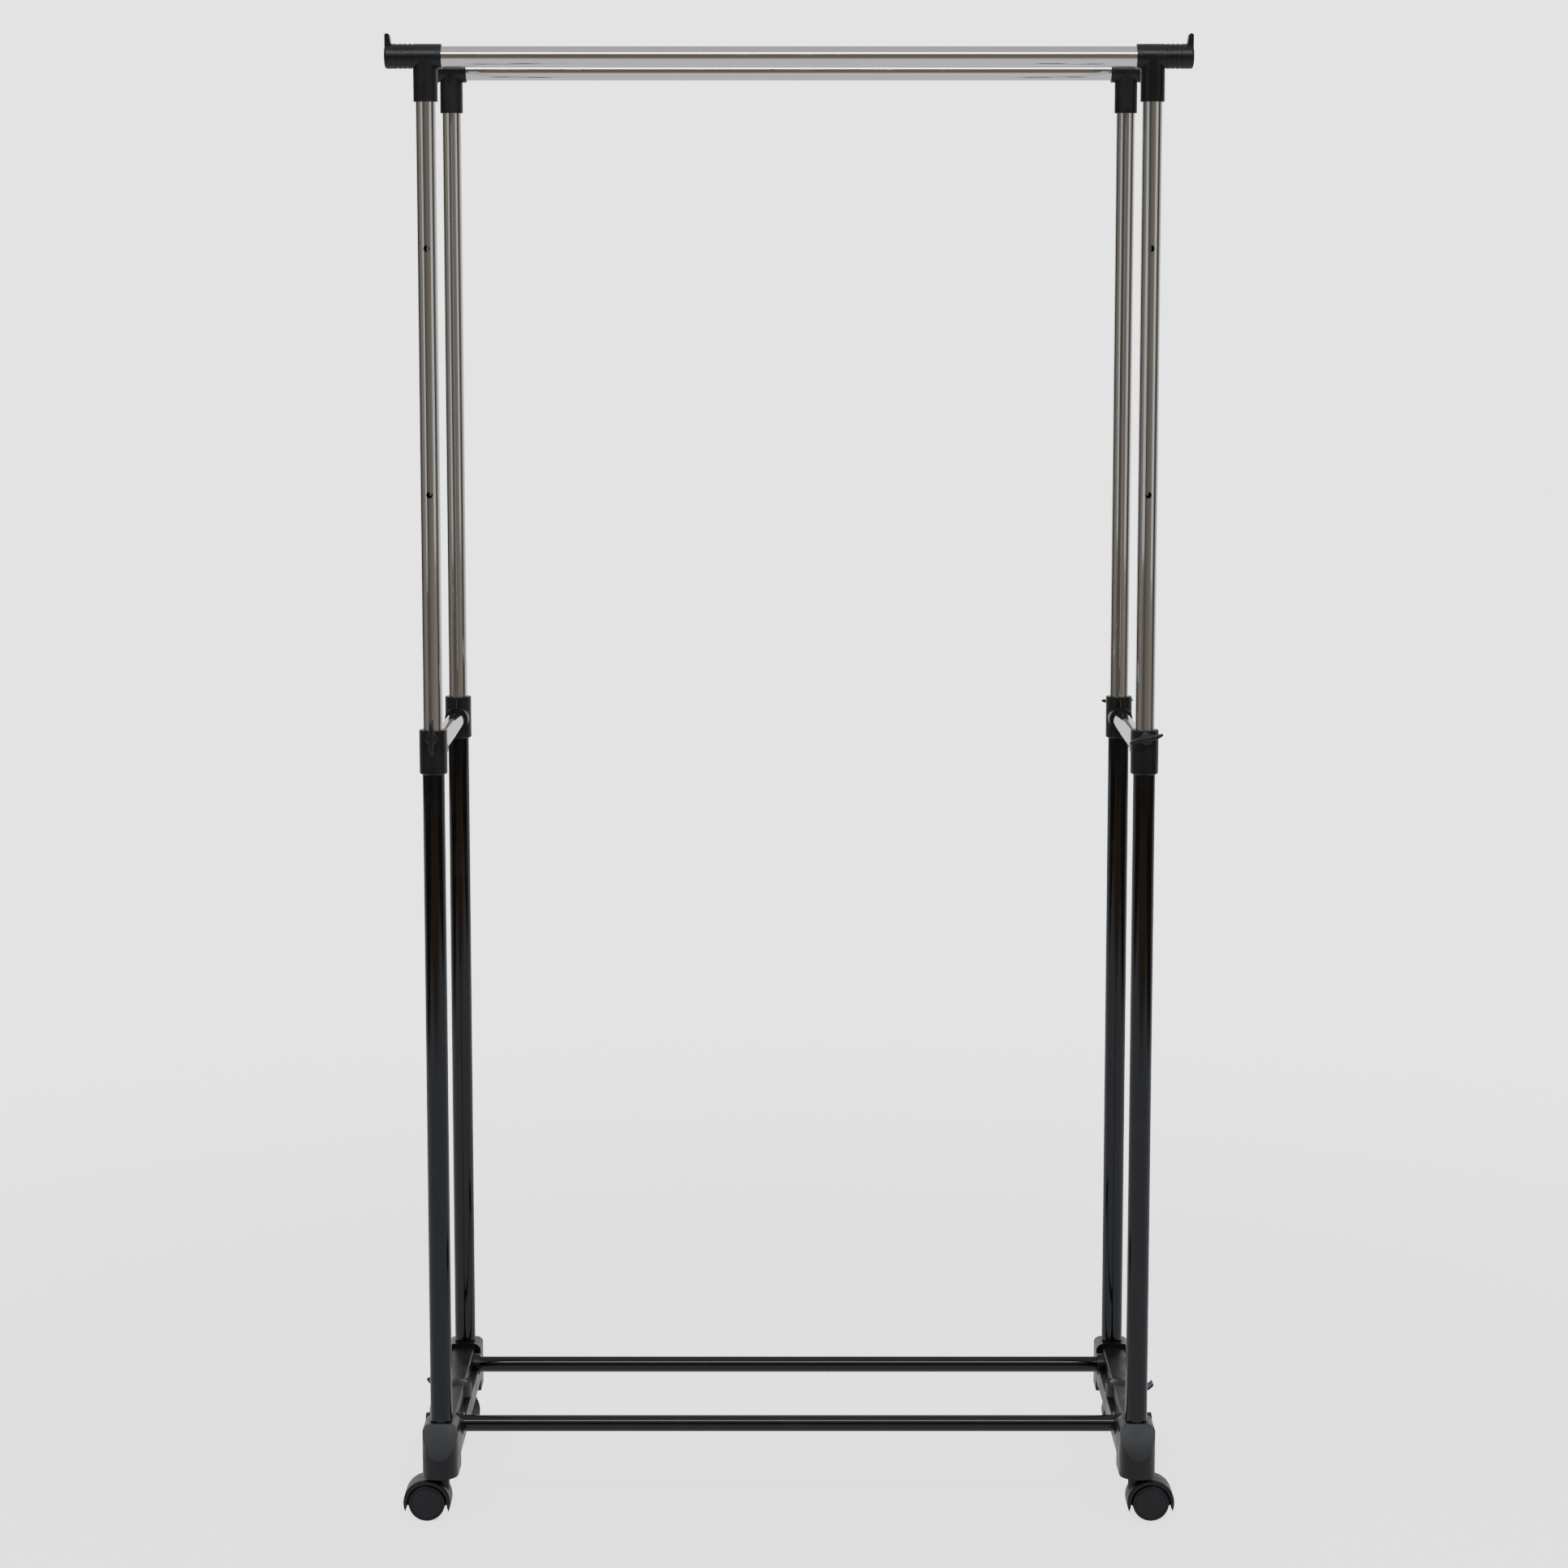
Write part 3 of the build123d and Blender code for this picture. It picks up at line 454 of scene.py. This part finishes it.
def wing_rings(settings, back, around=160, stations=56):
    """Rings of a wing screw from its back to the crown of its hub, about the +Y axis.

    Station w goes outwards. The hub is a low disc whose radius falls off at its top as a quarter of
    an ellipse, and the blades run on over it as one bar.
    The blades' outline is scaled by (1 - |v|^4)^(1/4), with v from -1 to 1 over their height.
    Hub and blades run together as r = (hub^p + blade^p)^(1/p). Each point then turns by an angle
    that grows with its radius, which sweeps the two blades into an S."""
    w = np.linspace(0.0, 1.0, stations)
    depth = settings.hub_depth
    place = depth * w
    crown = np.clip((place - 0.40 * depth) / (0.22 * depth), 0.0, 1.0)
    hub = settings.hub_radius * np.sqrt(1.0 - 0.97 * crown**2)
    blade_back, blade_front = 0.12 * depth, depth
    v = (2 * place - blade_back - blade_front) / (blade_front - blade_back)
    lift = np.clip(1.0 - np.abs(v) ** 4, 0.0, 1.0) ** 0.25
    a, blade = blade_outline(settings)
    widest = np.maximum(blade, settings.hub_radius)
    # Sample the angles evenly along the outline, so that the thin blades get their share.
    x, z = widest * np.sin(a), widest * np.cos(a)
    steps = np.hypot(np.diff(x, append=x[:1]), np.diff(z, append=z[:1]))
    travelled = np.concatenate([[0.0], np.cumsum(steps)])
    even = np.interp(
        np.linspace(0.0, travelled[-1], around, endpoint=False), travelled, np.append(a, 2 * math.pi)
    )
    blade = np.interp(even, a, blade, period=2 * math.pi)
    radius = (hub[:, None] ** 7 + (blade[None, :] * lift[:, None]) ** 7) ** (1 / 7)
    swept = even[None, :] + settings.blade_sweep * (radius / settings.blade_reach) ** 2
    return np.stack([
        radius * np.sin(swept),
        np.broadcast_to(back + place[:, None], radius.shape),
        radius * np.cos(swept),
    ], -1)


def thread_rings(settings, radius, start, end, around=28):
    """Rings of a threaded stud along +Y: radius minus depth times a triangle wave of the turns
    y / pitch - a / 2 pi, and tapered over half a pitch at both ends."""
    turns = (end - start) / settings.thread_pitch
    y = np.linspace(start, end, int(turns * 10) + 1)[:, None]
    a = np.linspace(0.0, 2 * math.pi, around, endpoint=False)[None, :]
    phase = (y / settings.thread_pitch - a / (2 * math.pi)) % 1.0
    wave = np.abs(2 * phase - 1.0)
    groove = np.clip(1.35 * wave - 0.15, 0.0, 1.0)
    taper = np.clip(np.minimum(y - start, end - y) / (0.5 * settings.thread_pitch), 0.0, 1.0)
    r = radius - settings.thread_depth * np.maximum(groove, 1.0 - taper)
    return np.stack([r * np.sin(a), np.broadcast_to(y, r.shape), r * np.cos(a)], -1)


def wheel_profile(settings, width):
    """Half section of a castor wheel as (radius, distance from the inner face): a slightly dished
    outer face with a bead round it, rounded shoulders, a crowned tread and an open inner side."""
    big = WHEEL_RADIUS
    lip = settings.shoulder_radius
    bead = settings.bead_radius
    outer = [
        (0.0, width - settings.face_dish, 0.0),
        (0.35 * bead, width - settings.face_dish, 0.002),
        (bead - 0.0012, width - 0.0001, 0.0008),
        (bead - 0.0003, width - 0.0001, 0.0002),
        (bead, width - 0.0006, 0.0002),
        (bead + 0.0006, width - 0.0006, 0.0002),
        (bead + 0.0009, width, 0.0002),
        (big - 0.0009, width, 0.0008),
        (big - 0.00005, width - lip, 0.0010),
        (big, 0.52 * width, 0.0020),
        (big - 0.00005, 0.0012, 0.0008),
        (big - 0.0010, 0.0, 0.0006),
        (0.0182, 0.0, 0.0003),
        (0.0182, width - 0.0026, 0.0010),
        (0.0052, width - 0.0026, 0.0008),
        (0.0052, 0.0, 0.0004),
        (0.0022, 0.0, 0.0),
        (0.0022, width - 0.0030, 0.0),
        (0.0, width - 0.0030, 0.0),
    ]
    return rounded_profile(outer)


# ------------------------------------------------------------------ settings
class RackMouldingSettings(bpy.types.PropertyGroup):
    """Plastic parts."""

    colour: FloatVectorProperty(
        name="Moulding Colour", description="Feet, collars, connectors and wing screws",
        subtype="COLOR", size=3, min=0.0, max=1.0, default=(0.0066, 0.0066, 0.0072),
    )
    roughness: FloatProperty(
        name="Moulding Roughness", description="Dullness of the grained plastic",
        subtype="FACTOR", min=0.0, max=1.0, default=0.36,
    )
    grain_size: FloatProperty(
        name="Grain Size", description="Width of one pit of the moulding grain",
        subtype="DISTANCE", unit="LENGTH", min=0.0001, default=0.0006,
    )
    grain_depth: FloatProperty(
        name="Grain Depth", description="Depth of the moulding grain",
        subtype="DISTANCE", unit="LENGTH", min=0.0, default=0.00005,
    )
    castor_colour: FloatVectorProperty(
        name="Castor Colour", description="Castor hoods, wheels and brake levers",
        subtype="COLOR", size=3, min=0.0, max=1.0, default=(0.0072, 0.0073, 0.0088),
    )
    castor_roughness: FloatProperty(
        name="Castor Roughness", description="Dullness of the castors",
        subtype="FACTOR", min=0.0, max=1.0, default=0.42,
    )


class RackTubeSettings(bpy.types.PropertyGroup):
    """Chromed and enamelled tubes."""

    chrome_colour: FloatVectorProperty(
        name="Chrome Colour", description="Tint of the chrome",
        subtype="COLOR", size=3, min=0.0, max=1.0, default=(0.78, 0.78, 0.79),
    )
    chrome_roughness: FloatProperty(
        name="Chrome Roughness", description="Dullness of clean chrome",
        subtype="FACTOR", min=0.0, max=1.0, default=0.055,
    )
    smudge_roughness: FloatProperty(
        name="Smudge Roughness", description="Dullness that a hand mark adds",
        subtype="FACTOR", min=0.0, max=1.0, default=0.10,
    )
    line_depth: FloatProperty(
        name="Line Depth", description="Depth of the lines along the tube",
        subtype="DISTANCE", unit="LENGTH", min=0.0, default=0.000012,
    )
    enamel_colour: FloatVectorProperty(
        name="Enamel Colour", description="Lower uprights and bottom bars",
        subtype="COLOR", size=3, min=0.0, max=1.0, default=(0.0032, 0.0032, 0.0036),
    )
    enamel_roughness: FloatProperty(
        name="Enamel Roughness", description="Dullness of the gloss enamel",
        subtype="FACTOR", min=0.0, max=1.0, default=0.06,
    )
    peel_depth: FloatProperty(
        name="Orange Peel Depth", description="Depth of the enamel's ripple",
        subtype="DISTANCE", unit="LENGTH", min=0.0, default=0.000010,
    )
    zinc_colour: FloatVectorProperty(
        name="Zinc Colour", description="Bolts, nuts, studs, stems and axles",
        subtype="COLOR", size=3, min=0.0, max=1.0, default=(0.56, 0.57, 0.58),
    )


class RackFittingSettings(bpy.types.PropertyGroup):
    """Wing screws, studs and castor wheels."""

    hub_radius: FloatProperty(
        name="Hub Radius", description="Radius of a wing screw's hub",
        subtype="DISTANCE", unit="LENGTH", min=0.001, default=0.0070,
    )
    hub_depth: FloatProperty(
        name="Hub Depth", description="Depth of a wing screw from back to crown",
        subtype="DISTANCE", unit="LENGTH", min=0.001, default=WING_DEPTH,
    )
    blade_reach: FloatProperty(
        name="Blade Reach", description="From the screw's axis to a blade's tip",
        subtype="DISTANCE", unit="LENGTH", min=0.001, default=0.0193,
    )
    blade_half_width: FloatProperty(
        name="Blade Half Width", description="Half of a blade's width",
        subtype="DISTANCE", unit="LENGTH", min=0.0005, default=0.0029,
    )
    blade_sweep: FloatProperty(
        name="Blade Sweep", description="How far the tips are swept round",
        subtype="ANGLE", unit="ROTATION", default=math.radians(-6.0),
    )
    thread_pitch: FloatProperty(
        name="Thread Pitch", description="Pitch of the studs' thread",
        subtype="DISTANCE", unit="LENGTH", min=0.0002, default=0.0010,
    )
    thread_depth: FloatProperty(
        name="Thread Depth", description="Depth of the studs' thread",
        subtype="DISTANCE", unit="LENGTH", min=0.0, default=0.00055,
    )
    shoulder_radius: FloatProperty(
        name="Wheel Shoulder", description="Width of the rounding between a wheel's face and tread",
        subtype="DISTANCE", unit="LENGTH", min=0.0, default=0.0020,
    )
    bead_radius: FloatProperty(
        name="Bead Radius", description="Radius of the bead on a wheel's face",
        subtype="DISTANCE", unit="LENGTH", min=0.005, default=0.0171,
    )
    face_dish: FloatProperty(
        name="Face Dish", description="How far the middle of a wheel's face is dished",
        subtype="DISTANCE", unit="LENGTH", min=0.0, default=0.0006,
    )
    points_around: IntProperty(
        name="Points Around", description="Points round each turned piece", min=24, default=96,
    )


class RackStudioSettings(bpy.types.PropertyGroup):
    """Floor, lights, surroundings and camera."""

    floor_colour: FloatVectorProperty(
        name="Floor Colour", description="The studio floor",
        subtype="COLOR", size=3, min=0.0, max=1.0, default=(0.86, 0.86, 0.86),
    )
    backdrop_glow: FloatProperty(
        name="Backdrop Glow", description="Brightness of the white seen behind the rack",
        min=0.0, default=3.0,
    )
    room_glow: FloatProperty(
        name="Room Glow", description="Brightness of the surroundings in reflections",
        min=0.0, default=1.0,
    )
    softbox_light: FloatProperty(
        name="Softbox Light", description="Power of the long softbox above the camera",
        subtype="POWER", unit="POWER", min=0.0, default=50.0,
    )
    side_light: FloatProperty(
        name="Side Light", description="Power of each light beside the camera",
        subtype="POWER", unit="POWER", min=0.0, default=5.0,
    )
    camera_place: FloatVectorProperty(
        name="Camera Place", description="Where the camera stands",
        subtype="TRANSLATION", unit="LENGTH", size=3, default=(-0.0055, -4.208, 1.430),
    )
    camera_tilt: FloatProperty(
        name="Camera Tilt", description="How far the camera looks down",
        subtype="ANGLE", unit="ROTATION", default=math.radians(7.19),
    )
    camera_lens: FloatProperty(
        name="Camera Lens", description="Focal length in millimetres",
        subtype="DISTANCE_CAMERA", min=1.0, default=84.01,
    )
    camera_rise: FloatProperty(
        name="Camera Rise", description="Vertical shift of the lens, as a share of the frame",
        default=-0.04,
    )


# ------------------------------------------------------------------ operators
class RACK_OT_finish_mouldings(bpy.types.Operator):
    """Gives the moulded plastic parts their grained finishes"""

    bl_idname = "rack.finish_mouldings"
    bl_label = "Finish Mouldings"

    def execute(self, context):
        wanted = context.scene.rack_mouldings
        moulded = moulded_finish(
            "Grained Black Plastic", wanted.colour, wanted.roughness,
            wanted.grain_size, wanted.grain_depth, 0.55, 0.03,
        )
        dress(moulded, ["left_foot", "right_foot", "foot_hub_caps"])
        dress(moulded, [f"{corner}_{part}" for corner in CORNERS for part in ("collar", "tee")])
        castor = moulded_finish(
            "Castor Plastic", wanted.castor_colour, wanted.castor_roughness,
            0.6 * wanted.grain_size, 0.5 * wanted.grain_depth, 0.45, 0.03,
        )
        dress(castor, [f"{corner}_castor_housing" for corner in CORNERS])
        dress(castor, ["rear_left_brake_lever", "rear_right_brake_lever"])
        inner = moulded_finish(
            "Natural Nylon", (0.30, 0.29, 0.26), 0.45,
            wanted.grain_size, 0.4 * wanted.grain_depth, 0.2, 0.0,
        )
        dress(inner, ["bottom_bar_plugs", "front_upright_glides", "rear_upright_glides"])
        return {"FINISHED"}


class RACK_OT_finish_tubes(bpy.types.Operator):
    """Gives the tubes their chrome and enamel, and the fixings their zinc plating"""

    bl_idname = "rack.finish_tubes"
    bl_label = "Finish Tubes"

    def execute(self, context):
        wanted = context.scene.rack_tubes
        dress(chrome_finish("Chrome Rail", 0, wanted), ["front_hanging_rail", "rear_hanging_rail"])
        dress(chrome_finish("Chrome Cross Tube", 1, wanted), ["left_cross_tube", "right_cross_tube"])
        uprights = [f"{corner}_upper_upright" for corner in CORNERS]
        dress(chrome_finish("Chrome Upright", 2, wanted), uprights)
        dress(enamel_finish("Enamelled Bar", 0, wanted), ["front_bottom_bar", "rear_bottom_bar"])
        lower = [f"{corner}_lower_upright" for corner in CORNERS]
        dress(enamel_finish("Enamelled Upright", 2, wanted), lower)
        zinc = zinc_finish("Zinc Plate", wanted)
        dress(zinc, ["foot_bolts", "collar_nuts"])
        dress(zinc, [f"{corner}_castor_{part}" for corner in CORNERS for part in ("stem", "axle")])
        return {"FINISHED"}


class RACK_OT_make_wing_screws(bpy.types.Operator):
    """Makes the four wing screws with their swept blades"""

    bl_idname = "rack.make_wing_screws"
    bl_label = "Make Wing Screws"

    def execute(self, context):
        wanted = context.scene.rack_fittings
        plastic = context.scene.rack_mouldings
        blue = tuple(part * tint for part, tint in zip(plastic.colour, (1.45, 1.55, 1.95)))
        finish = moulded_finish(
            "Wing Screw Plastic", blue, 0.44, 0.6 * plastic.grain_size,
            0.6 * plastic.grain_depth, 0.5, 0.04,
        )
        for corner in CORNERS:
            low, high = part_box(f"{corner}_wing")
            centre = (low + high) / 2
            outward = 1.0 if centre.y > 0 else -1.0
            back = low.y if outward > 0 else -high.y
            axis = middle(f"{corner}_stud")
            rings = wing_rings(wanted, back)
            lean = math.radians(WING_TURNS[corner])
            x = rings[..., 0] * math.cos(lean) + rings[..., 2] * math.sin(lean)
            z = rings[..., 2] * math.cos(lean) - rings[..., 0] * math.sin(lean)
            placed = np.stack([axis.x - outward * x, outward * rings[..., 1], axis.z + z], -1)
            front = (axis.x, outward * (back + wanted.hub_depth), axis.z)
            piece = surface_from_rings(
                f"{corner}_wing_screw", placed, (axis.x, outward * back, axis.z), front, 50.0
            )
            piece.data.materials.append(finish)
            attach(piece, f"{corner}_screw_wing")
            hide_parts(f"{corner}_wing")
        return {"FINISHED"}


class RACK_OT_make_studs(bpy.types.Operator):
    """Makes the threaded studs of the wing screws"""

    bl_idname = "rack.make_studs"
    bl_label = "Make Studs"

    def execute(self, context):
        wanted = context.scene.rack_fittings
        finish = bpy.data.materials["Zinc Plate"]
        for corner in CORNERS:
            low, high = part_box(f"{corner}_stud")
            axis = (low + high) / 2
            rings = thread_rings(wanted, STUD_RADIUS, low.y, high.y)
            placed = rings + np.array([axis.x, 0.0, axis.z])
            piece = surface_from_rings(
                f"{corner}_threaded_stud", placed,
                (axis.x, low.y, axis.z), (axis.x, high.y, axis.z), 70.0,
            )
            piece.data.materials.append(finish)
            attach(piece, f"{corner}_screw_stud")
            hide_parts(f"{corner}_stud")
        return {"FINISHED"}


class RACK_OT_make_wheels(bpy.types.Operator):
    """Makes the eight castor wheels with rounded treads and beaded faces"""

    bl_idname = "rack.make_wheels"
    bl_label = "Make Castor Wheels"

    def execute(self, context):
        wanted = context.scene.rack_fittings
        finish = bpy.data.materials["Castor Plastic"]
        profile = wheel_profile(wanted, WHEEL_WIDTH)
        rings = turned_rings(profile[1:-1], wanted.points_around)
        for corner in CORNERS:
            wheels = {hand: middle(f"{corner}_wheel_{hand}") for hand in ("front", "back")}
            castor = (wheels["front"] + wheels["back"]) / 2
            for hand, centre in wheels.items():
                axle = np.array((centre - castor).normalized())
                across = np.array([axle[1], -axle[0], 0.0])
                inner = np.array(centre) - axle * (WHEEL_WIDTH / 2)
                placed = inner + rings @ np.stack([across, axle, np.array([0.0, 0.0, 1.0])])
                ends = [inner + axle * profile[k, 1] for k in (0, -1)]
                piece = surface_from_rings(f"{corner}_castor_wheel_{hand}", placed, *ends, 40.0)
                piece.data.materials.append(finish)
                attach(piece, f"{corner}_{hand}_wheel")
                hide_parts(f"{corner}_wheel_{hand}")
        return {"FINISHED"}


class RACK_OT_set_studio(bpy.types.Operator):
    """Sets up the floor, the lights, the surroundings and the camera"""

    bl_idname = "rack.set_studio"
    bl_label = "Set Up Studio"

    def execute(self, context):
        wanted = context.scene.rack_studio
        for name in ("Cube", "Light", "Camera"):
            if name in bpy.data.objects:
                bpy.data.objects.remove(bpy.data.objects[name])
        lay_floor(wanted)
        surround(wanted)
        aim = Vector((0.0, 0.0, 0.85))
        soft_light("Softbox", (0.0, -2.4, 3.2), aim, (3.5, 0.6), wanted.softbox_light)
        soft_light("Left Light", (-3.0, -2.6, 1.9), aim, (1.6, 2.4), wanted.side_light)
        soft_light("Right Light", (3.2, -2.2, 1.9), aim, (1.6, 2.4), wanted.side_light)
        camera = bpy.data.cameras.new("Camera")
        camera.sensor_width = 36.0
        camera.lens = wanted.camera_lens
        camera.shift_y = wanted.camera_rise
        camera.clip_end = 100.0
        viewer = bpy.data.objects.new("Camera", camera)
        viewer.location = wanted.camera_place
        viewer.rotation_euler = (math.radians(90.0) - wanted.camera_tilt, 0.0, 0.0)
        context.scene.collection.objects.link(viewer)
        context.scene.camera = viewer
        return {"FINISHED"}


def soft_light(name, place, aim, size, power):
    """A rectangular area light that faces a point."""
    lamp = bpy.data.lights.new(name, "AREA")
    lamp.shape = "RECTANGLE"
    lamp.size, lamp.size_y = size
    lamp.energy = power
    lamp.color = (0.95, 0.98, 1.0)
    made = bpy.data.objects.new(name, lamp)
    made.location = place
    made.rotation_euler = (aim - Vector(place)).to_track_quat("-Z", "Y").to_euler()
    bpy.context.scene.collection.objects.link(made)


def floor_finish(wanted):
    """The floor's material. The camera sees matt white, lit round the rack, that fades into the
    backdrop further away. Reflections see white paper, then bare boards, then the room beyond."""
    made, tree, shader, place = new_material("Pale Floor")
    shader.inputs["Roughness"].default_value = 0.7
    shader.inputs["Specular IOR Level"].default_value = 0.2
    mottle = noise(tree, place, 30.0, 3.0)
    low = tuple(0.985 * part for part in wanted.floor_colour) + (1.0,)
    tint = mix_colours(tree, mottle, low, tuple(wanted.floor_colour) + (1.0,))
    tree.links.new(tint, shader.inputs["Base Color"])
    away = add_node(tree, "VectorMath", {0: place}, operation="LENGTH").outputs["Value"]
    far = spread(tree, away, 0.9, 2.6)
    seen = add_node(tree, "LightPath").outputs["Is Camera Ray"]
    near_glow = add_node(tree, "Emission", {"Strength": 0.62 * wanted.backdrop_glow})
    lit = add_node(tree, "AddShader", {0: shader.outputs[0], 1: near_glow.outputs[0]})
    far_glow = add_node(tree, "Emission", {"Strength": wanted.backdrop_glow})
    faded = add_node(tree, "MixShader", {0: far, 1: lit.outputs[0], 2: far_glow.outputs[0]})
    parts = add_node(tree, "SeparateXYZ", {0: place})
    before = calculate(tree, "MULTIPLY", parts.outputs["Y"], -1.0)
    boards = mix_colours(
        tree, spread(tree, before, 2.4, 3.2), (0.76, 0.76, 0.77, 1.0), (0.42, 0.28, 0.17, 1.0)
    )
    boards = mix_colours(tree, spread(tree, before, 5.2, 5.6), boards, (0.10, 0.07, 0.045, 1.0))
    aside = spread(tree, calculate(tree, "ABSOLUTE", parts.outputs["X"]), 2.6, 3.2)
    aside = calculate(tree, "MULTIPLY", aside, spread(tree, before, -1.5, 0.5))
    boards = mix_colours(tree, aside, boards, (0.10, 0.07, 0.045, 1.0))
    plain = add_node(tree, "Emission", {"Color": boards, "Strength": wanted.room_glow})
    beyond = calculate(tree, "GREATER_THAN", away, 5.8)
    clear = add_node(tree, "BsdfTransparent")
    given = add_node(tree, "MixShader", {0: beyond, 1: plain.outputs[0], 2: clear.outputs[0]})
    both = add_node(tree, "MixShader", {0: seen, 1: given.outputs[0], 2: faded.outputs[0]})
    output = next(node for node in tree.nodes if node.bl_idname == "ShaderNodeOutputMaterial")
    tree.links.new(both.outputs[0], output.inputs["Surface"])
    return made


def lay_floor(wanted):
    """A pale round floor."""
    a = np.linspace(0.0, 2 * math.pi, 96, endpoint=False)
    rings = np.array([0.4, 1.0, 2.0, 5.0, 15.0, 60.0])[:, None]
    height = np.full((6, 96), -0.0002)
    points = np.stack([rings * np.cos(a), rings * np.sin(a), height], -1).reshape(-1, 3)
    here = np.arange(96)
    after = (here + 1) % 96
    row = (np.arange(5) * 96)[:, None]
    quads = np.stack([row + here, row + 96 + here, row + 96 + after, row + after], -1).reshape(-1, 4)
    mesh = bpy.data.meshes.new("studio_floor")
    mesh.from_pydata(points.tolist(), [], quads.tolist() + [here.tolist()])
    floor = bpy.data.objects.new("studio_floor", mesh)
    bpy.context.scene.collection.objects.link(floor)
    mesh.materials.append(floor_finish(wanted))


def surround(wanted):
    """The world: plain white to the camera. In reflections it is a room with a grey ceiling, a
    white backdrop behind the rack, and lit, shaded and brown walls before it."""
    world = bpy.data.worlds.new("Studio")
    bpy.context.scene.world = world
    world.use_nodes = True
    tree = world.node_tree
    tree.nodes.clear()
    direction = add_node(tree, "TexCoord").outputs["Generated"]
    parts = add_node(tree, "SeparateXYZ", {0: direction})
    x, y, z = parts.outputs[0], parts.outputs[1], parts.outputs[2]
    facing = calculate(tree, "MULTIPLY", y, -1.0)
    bearing = calculate(tree, "ARCTAN2", x, facing)
    turn = calculate(tree, "MULTIPLY_ADD", bearing, 0.5 / math.pi, 0.5)
    ramp = add_node(tree, "ValToRGB", {0: turn})
    elements = ramp.color_ramp.elements
    while len(elements) < len(ROOM_TONES):
        elements.new(0.5)
    for element, (bearing_degrees, colour) in zip(elements, ROOM_TONES):
        element.position = (bearing_degrees + 180) / 360
        element.color = colour + (1.0,)
    above = spread(tree, z, 0.36, 0.50)
    roofed = mix_colours(tree, above, ramp.outputs[0], (0.62, 0.60, 0.565, 1.0))
    room = add_node(tree, "Background", {"Color": roofed, "Strength": wanted.room_glow})
    white = add_node(tree, "Background", {"Color": (1.0, 1.0, 1.0, 1.0), "Strength": wanted.backdrop_glow})
    seen = add_node(tree, "LightPath").outputs["Is Camera Ray"]
    both = add_node(tree, "MixShader", {0: seen, 1: room.outputs[0], 2: white.outputs[0]})
    output = tree.nodes.new("ShaderNodeOutputWorld")
    tree.links.new(both.outputs[0], output.inputs["Surface"])


class RACK_PT_panel(bpy.types.Panel):
    """Lists the rack's steps and settings"""

    bl_idname = "RACK_PT_panel"
    bl_label = "Clothes Rack"
    bl_space_type = "VIEW_3D"
    bl_region_type = "UI"
    bl_category = "Clothes Rack"

    def draw(self, context):
        for step in STEPS:
            self.layout.operator(step.bl_idname)
        for held in HELD:
            settings = getattr(context.scene, held)
            column = self.layout.column(align=True)
            for name in settings.__annotations__:
                column.prop(settings, name)


STEPS = (
    RACK_OT_finish_mouldings,
    RACK_OT_finish_tubes,
    RACK_OT_make_wing_screws,
    RACK_OT_make_studs,
    RACK_OT_make_wheels,
    RACK_OT_set_studio,
)
SETTINGS = (RackMouldingSettings, RackTubeSettings, RackFittingSettings, RackStudioSettings)
HELD = ("rack_mouldings", "rack_tubes", "rack_fittings", "rack_studio")


def register():
    """Registers the classes and hangs the settings on the scene."""
    for kind in SETTINGS + STEPS + (RACK_PT_panel,):
        bpy.utils.register_class(kind)
    for name, kind in zip(HELD, SETTINGS):
        setattr(bpy.types.Scene, name, PointerProperty(type=kind))


def unregister():
    """Takes the settings and the classes away again."""
    for name in HELD:
        delattr(bpy.types.Scene, name)
    for kind in reversed(SETTINGS + STEPS + (RACK_PT_panel,)):
        bpy.utils.unregister_class(kind)


def main():
    register()
    bpy.ops.rack.finish_mouldings()
    bpy.ops.rack.finish_tubes()
    bpy.ops.rack.make_wing_screws()
    bpy.ops.rack.make_studs()
    bpy.ops.rack.make_wheels()
    bpy.ops.rack.set_studio()
    bpy.context.view_layer.update()


if __name__ == "__main__":
    main()
